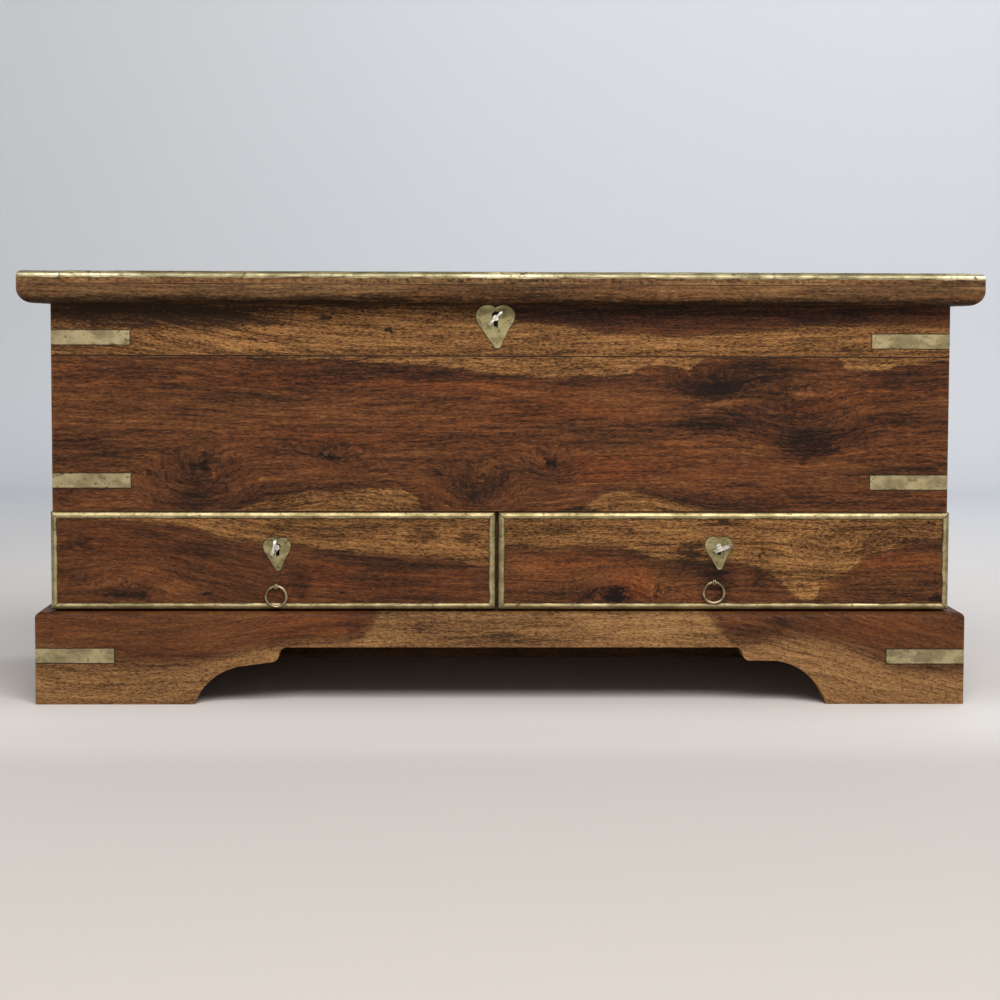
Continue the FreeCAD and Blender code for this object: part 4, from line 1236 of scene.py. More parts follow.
@dataclass
class Straps:
    """A pair of brass corner straps with their pins."""

    node: str
    half: float
    front: float
    lows: Point
    height: float = 19.4 * MM
    length: float = 99 * MM
    spots: tuple[Point, ...] = ((0.12, 0.27), (0.415, 0.66), (0.667, 0.27), (0.95, 0.73))

    def build(self) -> None:
        """Bevel the straps, and drive their pins."""
        name = self.node + "_beaten"
        straps = merged(self.node, name)
        ease(straps, 0.5 * MM)
        inset = Inset(self.half, self.front, self.lows, self.height, self.length)
        settle(straps, Body.CHEST, Slot.BRASS,
               replace(STRAP_BRASS, inset=inset).material(self.node), self.node)
        places, ways = [], []
        for side, low in zip(Side, self.lows):
            far = side.sign * self.half
            for share, rise in self.spots:
                back, up = share * self.length, low + rise * self.height
                places += [Vector((far - side.sign * back, self.front, up)),
                           Vector((far, self.front + back, up))]
                ways += [FORWARD, Vector((side.sign, 0, 0))]
        settle(Pin().row(name + "_pins", places, ways), Body.CHEST, Slot.BRASS,
               PIN_BRASS.material(self.node))

    def soil(self, front: Solid, sides: list[Solid]) -> None:
        """Darken the recess edges round the straps.

        Args:
            front: the front board.
            sides: the left and the right end board.
        """
        for side, low, end in zip(Side, self.lows, sides):
            far = side.sign * self.half
            near, skin = far - side.sign * self.length, far - side.sign * 3 * MM
            top = low + self.height
            grime(front, Vector((min(far, near), self.front - MM, low)),
                  Vector((max(far, near), self.front + 3 * MM, top)), self.front)
            grime(end, Vector((min(far, skin), self.front, low)),
                  Vector((max(far, skin), self.front + self.length, top)), far, 0)


def dry(name: str, seed: float, grain: Grain) -> Timber:
    """The planed, unoiled wood of the inside and the back."""
    return Timber(name + "_wood", seed, grain, heart=DRY_WOOD, red=DRY_WOOD, sap=DRY_WOOD,
                  contrast=0.8, roughness=0.66, shine=0.08)


# The front boards' own figure, with painted shade under the lid on the upper board, each mark
# where it lies on the chest, in metres
PLINTH_FRONT = Timber(
    "plinth_front_wood", 41.0, tone=0.515, figure=0.016, contrast=0.72, sap=PALE_SAP,
    reddish=0.1,
    flow=((-0.584, 0.0), (-0.45, -0.004), (-0.36, 0.0), (-0.25, 0.014), (0.0, 0.018),
          (0.24, 0.016), (0.38, -0.006), (0.48, -0.034), (0.584, -0.06)),
    sap_lines=(SapLine(((-0.585, 0.074), (-0.527, 0.063), (-0.477, 0.053), (-0.407, 0.049),
                        (-0.351, 0.059), (-0.3, 0.069), (-0.25, 0.077), (-0.2, 0.08),
                        (-0.165, 0.096), (-0.135, 0.128), (0.235, 0.13), (0.262, 0.11),
                        (0.285, 0.085), (0.302, 0.076), (0.333, 0.078), (0.365, 0.084),
                        (0.415, 0.079), (0.453, 0.071), (0.49, 0.054), (0.54, 0.044),
                        (0.585, 0.039)), False, 0.013),),
    patches=drawn(Patch, (-0.104, 0.098, 0.02, 0.01, -0.16), (0.003, 0.086, 0.035, 0.01, -0.2),
                  (0.3, 0.093, 0.06, 0.014, -0.16), (0.35, 0.103, 0.03, 0.012, -0.14),
                  (-0.56, 0.03, 0.02, 0.02, -0.14), (-0.4, 0.064, 0.1, 0.008, -0.1),
                  (-0.185, 0.094, 0.02, 0.02, -0.12), (0.55, 0.047, 0.05, 0.006, -0.16),
                  (0.15, 0.09, 0.12, 0.02, 0.06)),
    blushes=drawn(Patch, (-0.22, 0.1, 0.1, 0.03, 0.4), (-0.54, 0.1, 0.06, 0.02, 0.2),
                  (0.47, 0.095, 0.1, 0.03, 0.3)))

UPPER_BOARD = Timber(
    "upper_board_wood", 61.0, tone=0.47, figure=0.01, seam=0.437,
    flow=((-0.564, 0.034), (-0.47, 0.026), (-0.38, 0.01), (-0.27, -0.006), (-0.15, -0.012),
          (0.0, -0.014), (0.25, -0.012), (0.564, -0.008)),
    sap_lines=(SapLine(((-0.564, 0.52), (-0.02, 0.52), (0.0, 0.5), (0.022, 0.483), (0.092, 0.474),
                        (0.154, 0.465), (0.248, 0.464), (0.323, 0.47), (0.42, 0.478),
                        (0.564, 0.474)), False, 0.005),),
    knots=drawn(Knot, (-0.222, 0.484, 0.016, 0.007, 0.004, 0.3),
                (-0.141, 0.469, 0.01, 0.005, 0.004, 0.45),
                (0.095, 0.494, 0.006, 0.0025, 0.002, 0.5, 70)),
    # The wide dark patches from z 0.484 to 0.51 lie just under the lid: painted shade of its
    # shadow, over gold wood at the left and over darker heartwood at the right
    patches=drawn(Patch, (-0.52, 0.5, 0.1, 0.03, -0.28), (-0.4, 0.497, 0.22, 0.018, -0.22, -7),
                  (-0.49, 0.448, 0.1, 0.02, -0.08), (-0.47, 0.488, 0.22, 0.03, -0.18),
                  (-0.28, 0.51, 0.46, 0.026, -0.24), (-0.53, 0.453, 0.07, 0.022, -0.12),
                  (-0.38, 0.484, 0.19, 0.02, -0.24), (0.46, 0.502, 0.2, 0.024, -0.22),
                  (0.14, 0.494, 0.24, 0.028, -0.3), (-0.28, 0.452, 0.26, 0.018, 0.14),
                  (-0.4, 0.487, 0.1, 0.0016, -0.3, -9), (-0.33, 0.47, 0.12, 0.0014, -0.3, -8.5),
                  (-0.43, 0.47, 0.06, 0.0012, -0.25, -8), (-0.3, 0.455, 0.07, 0.0014, -0.3, -8),
                  (-0.15, 0.505, 0.2, 0.012, -0.12), (0.3, 0.495, 0.26, 0.026, -0.16),
                  (-0.05, 0.455, 0.3, 0.018, 0.05)),
    blushes=drawn(Patch, (0.13, 0.488, 0.18, 0.014, 0.5), (-0.32, 0.47, 0.1, 0.02, 0.2)))

LOWER_BOARD = Timber(
    "lower_board_wood", 67.0, tone=0.49, figure=0.026, seam=0.437,
    sap_lines=(SapLine(((-0.565, 0.446), (-0.4, 0.444), (-0.33, 0.4385), (-0.306, 0.434),
                        (-0.191, 0.43), (-0.09, 0.425), (-0.003, 0.415), (0.044, 0.412),
                        (0.105, 0.411), (0.142, 0.412), (0.167, 0.418), (0.186, 0.424),
                        (0.23, 0.423), (0.247, 0.43), (0.273, 0.438), (0.39, 0.441),
                        (0.415, 0.438), (0.428, 0.43), (0.444, 0.42), (0.47, 0.421),
                        (0.506, 0.428), (0.564, 0.433)), True, 0.0025),
               SapLine(((-0.567, 0.205), (-0.379, 0.218), (-0.335, 0.241), (-0.314, 0.253),
                        (-0.278, 0.261), (-0.241, 0.266), (-0.206, 0.268), (-0.17, 0.272),
                        (-0.133, 0.27), (-0.108, 0.261), (-0.098, 0.24), (-0.078, 0.218),
                        (0.08, 0.218), (0.1, 0.248), (0.118, 0.258), (0.137, 0.266),
                        (0.162, 0.267), (0.187, 0.262), (0.216, 0.256), (0.253, 0.249),
                        (0.29, 0.241), (0.377, 0.219), (0.568, 0.206)), False, 0.003)),
    knots=drawn(Knot, (-0.212, 0.31, 0.02, 0.0055, 0.003, 0.85, -24),
                (-0.205, 0.308, 0.075, 0.024, 0.01, 0.12, -18),
                (0.064, 0.303, 0.009, 0.007, 0.003, 0.9), (0.066, 0.3, 0.06, 0.03, 0.012, 0.1),
                (-0.383, 0.275, 0.09, 0.06, 0.026, 0.08),
                (-0.035, 0.262, 0.075, 0.05, 0.028, 0.06), (-0.2, 0.245, 0.1, 0.05, -0.016, 0.0),
                (0.16, 0.235, 0.12, 0.05, -0.016, 0.0), (0.262, 0.4, 0.075, 0.03, 0.018, 0.1),
                (0.38, 0.35, 0.11, 0.07, 0.02, 0.0), (0.164, 0.352, 0.016, 0.008, 0.007, 0.15),
                (0.45, 0.361, 0.016, 0.008, 0.006, 0.15)),
    patches=drawn(Patch, (0.262, 0.4, 0.06, 0.026, -0.2), (0.34, 0.425, 0.12, 0.016, -0.2),
                  (0.49, 0.405, 0.12, 0.04, -0.12), (0.335, 0.41, 0.12, 0.026, -0.16),
                  (0.385, 0.325, 0.05, 0.034, -0.34), (0.255, 0.35, 0.08, 0.012, -0.22, 4),
                  (0.44, 0.335, 0.05, 0.02, -0.16), (0.32, 0.37, 0.14, 0.06, -0.12),
                  (0.379, 0.392, 0.022, 0.009, 0.22), (0.275, 0.376, 0.05, 0.007, 0.26, 6),
                  (0.2, 0.372, 0.12, 0.012, 0.1), (-0.18, 0.372, 0.24, 0.02, 0.1),
                  (-0.05, 0.35, 0.16, 0.016, 0.1), (-0.22, 0.413, 0.34, 0.014, -0.1),
                  (-0.5, 0.425, 0.1, 0.02, -0.1), (-0.383, 0.268, 0.045, 0.03, -0.18),
                  (-0.376, 0.3, 0.01, 0.022, -0.2), (-0.035, 0.256, 0.018, 0.016, -0.2),
                  (-0.03, 0.285, 0.08, 0.03, -0.06), (-0.55, 0.26, 0.03, 0.03, -0.15),
                  (-0.1, 0.248, 0.03, 0.016, -0.14), (0.52, 0.27, 0.1, 0.05, -0.08),
                  (0.1, 0.243, 0.04, 0.005, -0.3)),
    blushes=drawn(Patch, (0.08, 0.368, 0.16, 0.02, 0.6), (0.129, 0.296, 0.1, 0.026, 0.8),
                  (0.22, 0.32, 0.09, 0.02, 0.4), (-0.25, 0.405, 0.22, 0.018, 0.4),
                  (-0.2, 0.33, 0.12, 0.018, 0.4), (-0.06, 0.4, 0.16, 0.014, 0.4),
                  (0.47, 0.39, 0.1, 0.04, 0.3), (0.385, 0.372, 0.06, 0.01, 0.5)))

LEFT_DRAWER = Timber(
    "left_drawer_wood", 131.0, tone=0.455, figure=0.026, contrast=0.78,
    flow=((-0.564, 0.008), (-0.47, 0.004), (-0.38, -0.006), (-0.28, -0.022), (-0.15, -0.03),
          (-0.009, -0.036)),
    sap_lines=(SapLine(((-0.566, 0.236), (-0.475, 0.23), (-0.427, 0.227), (-0.39, 0.224),
                        (-0.374, 0.218), (-0.355, 0.21), (-0.327, 0.204), (-0.3, 0.2),
                        (-0.264, 0.201), (-0.231, 0.194), (-0.2, 0.191), (-0.144, 0.186),
                        (-0.114, 0.185), (-0.089, 0.186), (-0.07, 0.183), (-0.051, 0.18),
                        (-0.037, 0.173), (-0.008, 0.17)), True, 0.004),),
    knots=drawn(Knot, (-0.37, 0.137, 0.006, 0.004, 0.002, 0.8),
                (-0.475, 0.15, 0.004, 0.003, 0.002, 0.6),
                (-0.201, 0.14, 0.005, 0.003, 0.002, 0.6),
                (-0.46, 0.165, 0.09, 0.04, -0.014, 0.0)),
    patches=drawn(Patch, (-0.531, 0.201, 0.024, 0.012, -0.26),
                  (-0.475, 0.139, 0.045, 0.012, -0.26), (-0.402, 0.147, 0.045, 0.014, 0.16),
                  (-0.448, 0.166, 0.05, 0.014, 0.1, 20), (-0.384, 0.193, 0.06, 0.016, -0.12),
                  (-0.254, 0.15, 0.022, 0.032, -0.2), (-0.097, 0.212, 0.03, 0.018, -0.18),
                  (-0.044, 0.208, 0.03, 0.012, -0.24), (-0.02, 0.198, 0.012, 0.008, -0.22),
                  (-0.2, 0.222, 0.14, 0.006, -0.14), (-0.15, 0.2, 0.12, 0.01, 0.1),
                  (-0.15, 0.172, 0.1, 0.012, -0.1), (-0.12, 0.15, 0.16, 0.036, -0.12),
                  (-0.54, 0.16, 0.03, 0.04, -0.1)),
    blushes=drawn(Patch, (-0.49, 0.199, 0.06, 0.016, 0.5, -10), (-0.22, 0.165, 0.06, 0.026, 0.7),
                  (-0.12, 0.15, 0.12, 0.03, 0.5), (-0.28, 0.14, 0.06, 0.016, 0.5)))

RIGHT_DRAWER = Timber(
    "right_drawer_wood", 137.0, tone=0.48, figure=0.022, contrast=1.1,
    sap_lines=(SapLine(((-0.004, 0.198), (0.036, 0.196), (0.061, 0.195), (0.087, 0.2),
                        (0.11, 0.202), (0.14, 0.202), (0.153, 0.199), (0.167, 0.192),
                        (0.184, 0.186), (0.202, 0.181), (0.238, 0.177), (0.289, 0.176),
                        (0.317, 0.172), (0.328, 0.167), (0.345, 0.158), (0.359, 0.147),
                        (0.374, 0.133), (0.388, 0.128), (0.403, 0.147), (0.416, 0.159),
                        (0.433, 0.164), (0.447, 0.174), (0.46, 0.185), (0.472, 0.189),
                        (0.487, 0.192), (0.505, 0.202), (0.522, 0.205),
                        (0.567, 0.209)), True, 0.0055),),
    knots=drawn(Knot, (0.144, 0.128, 0.07, 0.062, -0.034, 0.0),
                (0.144, 0.136, 0.02, 0.014, -0.004, 0.75), (0.42, 0.19, 0.1, 0.03, 0.012, 0.0)),
    patches=drawn(Patch, (0.112, 0.138, 0.022, 0.013, -0.2),
                  (0.196, 0.144, 0.0055, 0.024, -0.3, -8), (0.211, 0.139, 0.01, 0.012, -0.2),
                  (0.238, 0.187, 0.026, 0.022, -0.34), (0.263, 0.17, 0.03, 0.022, -0.22),
                  (0.277, 0.148, 0.028, 0.026, -0.28), (0.328, 0.186, 0.006, 0.012, -0.26),
                  (0.328, 0.15, 0.02, 0.02, -0.16), (0.553, 0.134, 0.014, 0.009, -0.22),
                  (0.52, 0.16, 0.06, 0.03, -0.1), (0.512, 0.219, 0.012, 0.003, -0.3, -40),
                  (0.548, 0.227, 0.008, 0.006, -0.3), (0.402, 0.152, 0.02, 0.005, -0.24, 30),
                  (0.275, 0.228, 0.045, 0.005, -0.26), (0.162, 0.216, 0.012, 0.008, -0.2),
                  (0.3, 0.222, 0.1, 0.012, -0.08), (0.365, 0.18, 0.05, 0.02, 0.12),
                  (0.41, 0.15, 0.03, 0.014, 0.2), (0.06, 0.165, 0.1, 0.03, 0.08),
                  (0.36, 0.158, 0.02, 0.012, -0.1)),
    blushes=drawn(Patch, (0.165, 0.15, 0.045, 0.034, 1.0), (0.12, 0.218, 0.12, 0.012, 0.4),
                  (0.48, 0.18, 0.08, 0.02, 0.5), (0.1, 0.178, 0.1, 0.014, 0.4)))


@dataclass
class Plinth:
    """The bracket-footed frame that carries the case."""

    half: float = 583.8 * MM
    front: float = -233.8 * MM
    strap_lows: Point = (51.8 * MM, 50.8 * MM)

    def build(self) -> None:
        """Build the boards, glue blocks and straps."""
        front = board("plinth_front", PLINTH_FRONT, Body.CHEST, width=0.8 * MM)
        sides = []
        for node, seed, golden in (("plinth_left", 43.0, 0.3), ("plinth_right", 47.0, 0.4)):
            timber = Timber(node + "_wood", seed, Grain.SIDE, tone=0.48, golden=golden)
            sides.append(board(node, timber, Body.CHEST, width=0.8 * MM))
        for node, seed, grain in (("plinth_back", 51.0, Grain.FRONT),
                                  ("plinth_corner_blocks", 53.0, Grain.POST)):
            board(node, dry(node, seed, grain), Body.CHEST, Slot.CASE_WOOD)
        straps = Straps("plinth_straps", self.half, self.front, self.strap_lows)
        straps.build()
        straps.soil(front, sides)


@dataclass
class Case:
    """The fixed box of the chest, with its floors and divider."""

    half: float = 563.7 * MM
    front: float = -213.7 * MM
    upper_lows: Point = (449.6 * MM, 447.2 * MM)
    lower_lows: Point = (270.5 * MM, 269.3 * MM)

    def build(self) -> None:
        """Build the boards and straps."""
        fronts = (board("front_board_upper", UPPER_BOARD, Body.CHEST),
                  board("front_board_lower", LOWER_BOARD, Body.CHEST))
        sides = []
        for node, seed in (("side_left", 71.0), ("side_right", 73.0)):
            timber = Timber(node + "_wood", seed, Grain.SIDE, tone=0.45, figure=0.05,
                            knots=(Knot(0.05, 0.33, 0.12, 0.06, 0.05, 0.4),))
            sides.append(board(node, timber, Body.CHEST))
        inside = {"back_board_lower": Grain.FRONT, "back_board_upper": Grain.FRONT,
                  "case_floor": Grain.TOP, "chest_floor": Grain.TOP,
                  "drawer_divider": Grain.SIDE}
        for count, (node, grain) in enumerate(inside.items()):
            board(node, dry(node, 81.0 + 3 * count, grain), Body.CHEST, Slot.CASE_WOOD)
        for level, lows, front in (("upper", self.upper_lows, fronts[0]),
                                   ("lower", self.lower_lows, fronts[1])):
            straps = Straps(f"corner_straps_{level}", self.half, self.front, lows)
            straps.build()
            straps.soil(front, sides)


@dataclass
class LidLock:
    """The heart plate, lock case, key and bolt of the lid."""

    face: float = -214.9 * MM
    pin_spots: tuple[Point, ...] = ((-28.7, 489.2), (-27.0, 478.7), (7.6, 482.0),
                                    (11.9, 491.4), (-6.8, 453.6))
    screw_across: Point = (-38, 21)
    screw_back: float = -193.7
    screw_up: Point = (470.4, 514)

    def build(self) -> None:
        """Build the plate with its pins, then finish the lock."""
        plate("heart_escutcheon", Body.CHEST)
        pins("heart_pins", Body.CHEST, self.face, self.pin_spots)
        dress("lid_lock_case", LOCK_IRON.material("lid"))
        screws("lid_lock_screws", Body.CHEST, Slot.BRASS, STRAP_BRASS, (0, 1, 0),
               [(across, self.screw_back, up) for across in self.screw_across
                for up in self.screw_up])
        rounded("lid_key", Body.LID_KEY, Slot.KEY_STEEL, KEY_STEEL, 0.35 * MM)
        rounded("lid_bolt", Body.LID_BOLT, Slot.BRASS, PLATE_BRASS, 0.3 * MM)


@dataclass
class Lid:
    """The lid: boards, lip, brass edge, battens and link plate."""

    lip_joint: float = 526.2 * MM
    brass_skirt: float = 0.8 * MM
    screw_along: tuple[float, ...] = (-150, -50, 60, 170)

    def timbers(self) -> dict[str, Timber]:
        """Choose the wood of each board.

        Returns:
            Each board's CAD node and its timber.
        """
        gold = dict(heart=BROWN_GOLD, sap=BROWN_GOLD)
        # The lips' one patch darkens their underside round z 0.50, where the rounding turns down:
        # painted shade
        lip = dict(gold, figure=0.01, seam=self.lip_joint,
                   patches=(Patch(0.0, 0.500, 3.0, 0.014, -0.34),))
        return {
            "lid_board_front": Timber("lid_front_wood", 101.0, Grain.TOP, tone=0.52,
                                      golden=0.3, **gold),
            "lid_board_back": Timber("lid_back_wood", 103.0, Grain.TOP, golden=0.3,
                                     figure=0.04,
                                     knots=(Knot(-0.2, 0.12, 0.14, 0.05, 0.05, 0.4),)),
            "lid_moulding_front": Timber("lid_moulding_front_wood", 107.0, **lip),
            "lid_moulding_left": Timber("lid_moulding_left_wood", 109.0, Grain.SIDE, **lip),
            "lid_moulding_right": Timber("lid_moulding_right_wood", 113.0, Grain.SIDE, **lip)}

    def edging(self, node: str, axis: int) -> None:
        """Round a brass strip of the lid's edge, and beat it uneven.

        Args:
            node: the strip's CAD node.
            axis: its long axis.
        """
        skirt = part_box(node)[0][2] + self.brass_skirt
        strip = merged(node, node + "_beaten")
        ease(strip, 0.25 * MM)
        ribs(strip, axis, 8 * MM)
        waver(strip, lambda point: point[2] < skirt, 4.4 * MM, 26 * MM, Push.UP)
        waver(strip, lambda point: point[2] > skirt, 0.8 * MM, 30 * MM, Push.OUT)
        smooth(strip)
        settle(strip, Body.LID, Slot.BRASS, EDGE_BRASS.material(node), node)

    def build(self) -> None:
        """Build the boards, lips and brass."""
        for node, timber in self.timbers().items():
            board(node, timber, Body.LID)
        board("lid_battens", dry("lid_battens", 117.0, Grain.FLOOR), Body.LID, Slot.CASE_WOOD)
        for name, axis in (("front", 0), ("left", 1), ("right", 1)):
            self.edging("lid_brass_" + name, axis)
        rounded("lid_link_plate", Body.LID, Slot.BRASS, PLATE_BRASS, 0.3 * MM)
        screws("lid_batten_screws", Body.LID, Slot.LOCK_IRON, LOCK_IRON, (0, 0, -1),
               [(side.sign * 299, along, 510.2) for side in Side for along in self.screw_along])


@dataclass
class Hinges:
    """Two butt hinges at the back, with their screws' places in millimetres."""

    across: tuple[float, ...] = (324, 349.5, 375)
    back: float = 230
    case_face: float = 526.09
    lid_face: float = 526.31

    def build(self) -> None:
        """Finish the leaves and pins, and drive the screws."""
        for node in ("hinge_leaves_case", "hinge_pins", "hinge_leaves_lid"):
            dress(node, STRAP_BRASS.material(node))
        for name, body, up, way in (("case", Body.CHEST, self.case_face, 1),
                                    ("lid", Body.LID, self.lid_face, -1)):
            screws("hinge_screws_" + name, body, Slot.BRASS, STRAP_BRASS, (0, 0, way),
                   [(side.sign * across, self.back, up)
                    for side in Side for across in self.across])


@dataclass
class Drawer:
    """One drawer with its box, trim, lock, ring and key."""

    side: Side
    timber: Timber
    seed: float
    pin_spots: tuple[Point, ...]
    stud_spots: tuple[Point, ...] = ()
    face: float = -220.9 * MM
    stud_sink: float = 1.2 * MM
    crown: tuple[Point, ...] = ((3.2, 0.30), (4.2, 0.80), (5.4, 0.70), (6.7, 0.35))

    def node(self, name: str) -> str:
        """The CAD name of one of this drawer's pieces."""
        return f"drawer_{self.side.value}_{name}"

    def body(self, name: str) -> Body:
        """The body of this side's drawer, ring, key or bolt."""
        return Body(f"{name}_{self.side.value}")

    def build(self) -> None:
        """Build the front, the box and the brass."""
        body = self.body("drawer")
        board(self.node("front"), self.timber, body, width=0.4 * MM)
        box = {"side_outer": Grain.SIDE, "side_inner": Grain.SIDE, "back": Grain.FRONT,
               "base": Grain.TOP}
        for count, (name, grain) in enumerate(box.items()):
            node = self.node(name)
            board(node, dry(node, self.seed + 3 * count, grain), body, Slot.CASE_WOOD, 0.4 * MM)
        self.edging()
        plate(self.node("escutcheon"), body)
        pins(self.node("plate_pins"), body, self.face, self.pin_spots)
        if self.stud_spots:
            pins(self.node("studs"), body, self.face + self.stud_sink, self.stud_spots)
        self.lock()

    def lock(self) -> None:
        """Finish the lock, the key and the ring."""
        case = self.node("lock_case")
        dress(case, LOCK_IRON.material(self.side.value))
        low, high = (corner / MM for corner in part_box(case))
        screws(case + "_screws", self.body("drawer"), Slot.BRASS, STRAP_BRASS, (0, 1, 0),
               [(across, high[1], up) for across in (low[0] + 6, high[0] - 6)
                for up in (low[2] + 6, high[2] - 9)])
        ring, key, bolt = (self.body(name) for name in ("ring", "key", "bolt"))
        for node, metal in ((self.node("staple"), RING_BRASS), (ring.value, RING_BRASS),
                            (bolt.value, PLATE_BRASS)):
            dress(node, metal.material(node))
        rounded(key.value, key, Slot.KEY_STEEL, KEY_STEEL, 0.3 * MM)

    def edging(self) -> None:
        """Crown the brass strips round the front, and beat their inner edges uneven."""
        node = self.node("trim")
        low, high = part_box(node)
        front = low[1]
        strips = merged(node, node + "_beaten")
        ease(strips, 0.35 * MM)
        for inset, _ in self.crown[1:]:
            for axis in (0, 2):
                slice_at(strips, axis, low[axis] + inset * MM)
                slice_at(strips, axis, high[axis] - inset * MM)

        def inward(point: Vector) -> float:
            """The distance from the nearest outer edge of the brass."""
            return min(point[0] - low[0], high[0] - point[0], point[2] - low[2],
                       high[2] - point[2])

        def within(point: Vector, depth: float) -> bool:
            """Whether a point is less than a depth behind the front of the brass."""
            return point[1] < front + depth

        for inset, rise in self.crown:
            nudge(strips, lambda point: within(point, 0.1 * MM)
                  and abs(inward(point) / MM - inset) < 0.25, (0, -rise * MM, 0))
        for axis in (0, 2):
            ribs(strips, axis, 5.7 * MM)
        waver(strips, lambda point: within(point, 0.9 * MM) and inward(point) > 7 * MM,
              2.6 * MM, 16 * MM, Push.UP)
        waver(strips, lambda point: within(point, 2 * MM), 0.6 * MM, 20 * MM, Push.OUT)
        smooth(strips)
        settle(strips, self.body("drawer"), Slot.BRASS, TRIM_BRASS.material(node), node)


@dataclass(frozen=True)
class Lamp:
    """A soft area light: where it hangs and looks, its size in metres and its watts."""

    name: str
    place: Triple
    aim: Triple
    size: Point
    power: float
    shade: Shade

    def hang(self) -> None:
        """Hang the light."""
        data = bpy.data.lights.new(self.name, "AREA")
        data.shape, data.energy = "RECTANGLE", self.power
        data.size, data.size_y = self.size
        data.color = linear(self.shade)[:3]
        light = bpy.data.objects.new(self.name, data)
        bpy.context.scene.collection.objects.link(light)
        light.location = self.place
        light.rotation_mode = "QUATERNION"
        way = Vector(self.aim) - Vector(self.place)
        light.rotation_quaternion = way.to_track_quat("-Z", "Y")


LAMPS = (Lamp("key_light", (0.7, -4.7, 4.2), (0, -0.2, 0.2), (4.6, 3.0), 340, (255, 252, 248)),
         Lamp("wall_light", (1.5, 1.2, 3.4), (1.1, 4.2, 1.4), (2.6, 2.4), 80, (240, 245, 255)),
         Lamp("fill_light", (0.0, -4.0, 0.6), (0, -0.2, 0.1), (3.0, 0.6), 12, (255, 248, 240)))


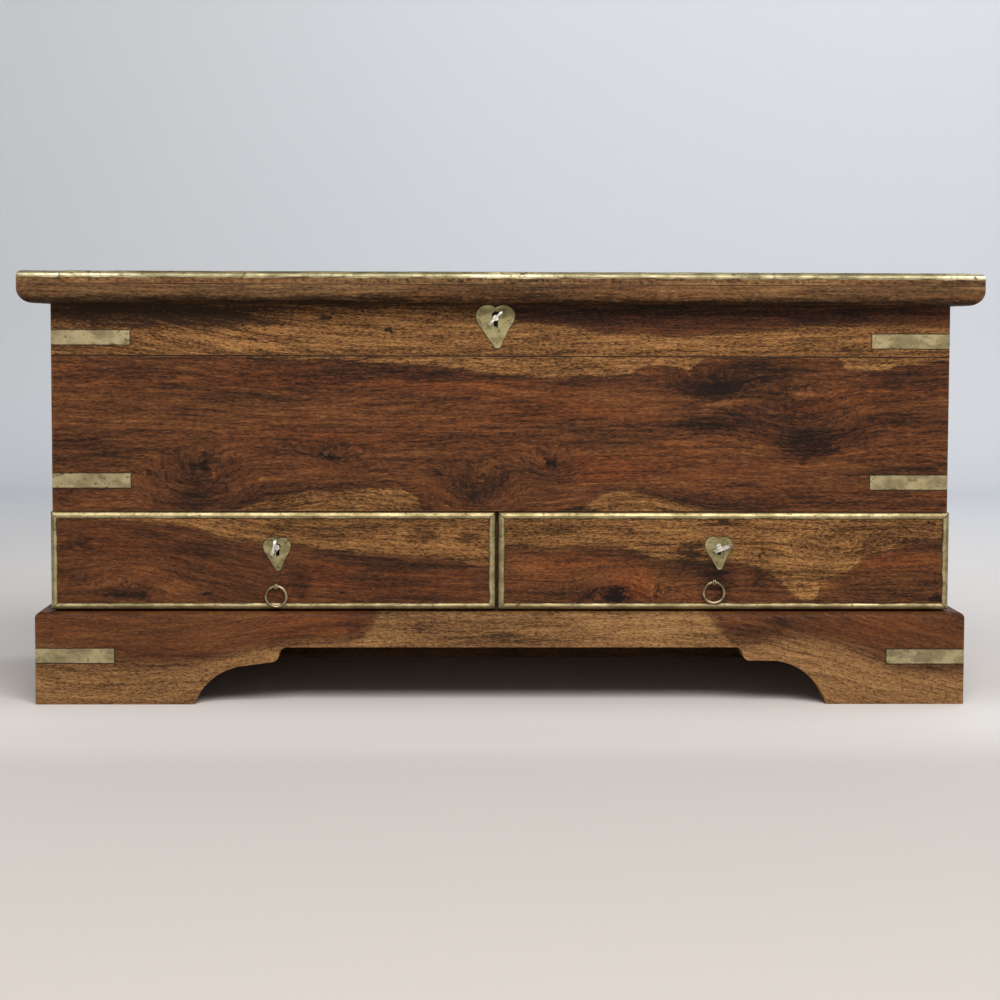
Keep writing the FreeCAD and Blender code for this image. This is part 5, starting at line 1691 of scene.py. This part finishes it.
@dataclass
class Studio:
    """The pale floor and backdrop, the lights and the camera."""

    eye: Triple = (-0.07281, -3.2331, 0.47013)
    lens: float = 86.55
    yaw: float = -0.023389
    pitch: float = 0.070672
    roll: float = 0.0029804
    wall: float = 4.2
    floor_width: float = 16.0
    floor_depth: float = 10.0
    wall_height: float = 5.0
    sweep_radius: float = 0.5
    floor_shade: Shade = (223, 217, 212)
    # The floor's painted shade towards the camera, and its painted light just in front of the
    # chest
    near_painted_shade: Shade = (214, 207, 200)
    front_painted_light: Shade = (248, 245, 242)
    wall_shade: Shade = (214, 216, 218)
    mottle_shade: Shade = (150, 150, 150)
    room_shade: Shade = (236, 240, 246)
    room_strength: float = 0.25
    mottle: Pattern = Pattern((1.2, 1.2, 1.2), 0, 3, 0.5)
    tooth: Pattern = Pattern((160, 160, 160), 0, 2, 0.5)

    def paint(self) -> Finish:
        """A matt pale finish with a faint mottle, warmer on the floor than on the wall, with
        painted shade on the floor towards the camera and a painted pool of light on the floor
        just in front of the chest.

        Returns:
            The material.
        """
        graph = Graph("pale_paint")
        place = graph.place()
        back = graph.axes(place)[1]
        # Darker towards the camera: painted shade
        colour = graph.blend(graph.fade(back, -0.5, -2.6), linear(self.floor_shade),
                             linear(self.near_painted_shade))
        # A paler band round y -0.36, just in front of the chest: painted light
        below = graph.fade(graph.apart(back, -0.36), 0.34, 0.0)
        colour = graph.blend(below, colour, linear(self.front_painted_light))
        colour = graph.blend(graph.fade(back, 0.6, self.wall - 0.2), colour,
                             linear(self.wall_shade))
        cloud = graph.cloud(place, self.mottle, 5.0)
        colour = graph.tint(colour, cloud, 0.06, self.mottle_shade)
        normal = graph.bump(graph.cloud(place, self.tooth, 9.0), 0.05, 0.0004)
        return graph.surface(colour, 0.75, normal, Specular_IOR_Level=0.25)

    def sweep(self) -> None:
        """Model the floor and the wall as one curved sheet."""
        bpy.ops.object.select_all(action="DESELECT")
        bpy.ops.mesh.primitive_plane_add(size=1.0, location=(0, 0, 0))
        sheet = bpy.context.active_object
        sheet.name = sheet.data.name = "floor_sweep"
        sheet.data.transform(Matrix.Translation((0, self.wall - self.floor_depth / 2, 0))
                             @ Matrix.Diagonal((self.floor_width, self.floor_depth, 1, 1)))
        pick(sheet, Element.LINES,
             lambda line: all(end.y > self.wall - 0.1 for end in ends(sheet, line)))
        shape(sheet, bpy.ops.mesh.extrude_region_move,
              TRANSFORM_OT_translate={"value": (0, 0, self.wall_height)})
        pick(sheet, Element.LINES,
             lambda line: all(end.y > self.wall - 0.1 and end.z < 0.1
                              for end in ends(sheet, line)))
        shape(sheet, bpy.ops.mesh.bevel, offset=self.sweep_radius, segments=10)
        only(sheet)
        bpy.ops.object.shade_smooth()
        sheet.data.materials.append(self.paint())

    def lights(self) -> None:
        """Hang the lamps, and set the room's own light."""
        for lamp in LAMPS:
            lamp.hang()
        world = bpy.data.worlds.new("room")
        bpy.context.scene.world = world
        world.use_nodes = True
        background = world.node_tree.nodes["Background"]
        background.inputs[0].default_value = linear(self.room_shade)
        background.inputs[1].default_value = self.room_strength
        bpy.context.scene.view_settings.view_transform = "Standard"

    def camera(self) -> None:
        """Place the camera where the photograph was taken."""
        cosine, sine = math.cos(self.pitch), math.sin(self.pitch)
        ahead = Vector((-math.sin(self.yaw) * cosine, math.cos(self.yaw) * cosine, -sine))
        right = Vector((math.cos(self.yaw), math.sin(self.yaw), 0))
        up = right.cross(ahead)
        level = math.cos(self.roll) * right + math.sin(self.roll) * up
        top = math.cos(self.roll) * up - math.sin(self.roll) * right
        data = bpy.data.cameras.new("camera")
        data.lens, data.sensor_width, data.sensor_fit = self.lens, 36.0, "HORIZONTAL"
        camera = bpy.data.objects.new("camera", data)
        bpy.context.scene.collection.objects.link(camera)
        turn = Matrix((level, top, -ahead)).transposed().to_4x4()
        camera.matrix_world = Matrix.Translation(self.eye) @ turn
        bpy.context.scene.camera = camera

    def build(self) -> None:
        """Build the stage, the lights and the camera."""
        self.sweep()
        self.lights()
        self.camera()


def main() -> None:
    """Build the chest piece by piece."""
    logging.basicConfig(level=logging.INFO, format="%(name)s: %(message)s")
    for part in (
            Studio(), Plinth(), Case(), LidLock(), Lid(), Hinges(),
            Drawer(Side.LEFT, LEFT_DRAWER, 151.0,
                   ((-293.2, 201.5), (-271.4, 201.5), (-281.6, 171.4))),
            Drawer(Side.RIGHT, RIGHT_DRAWER, 171.0,
                   ((262.7, 203.2), (284.5, 203.2), (274.3, 173.1)),
                   ((256, 153), (280, 153)))):
        part.build()


if __name__ == "__main__":
    main()
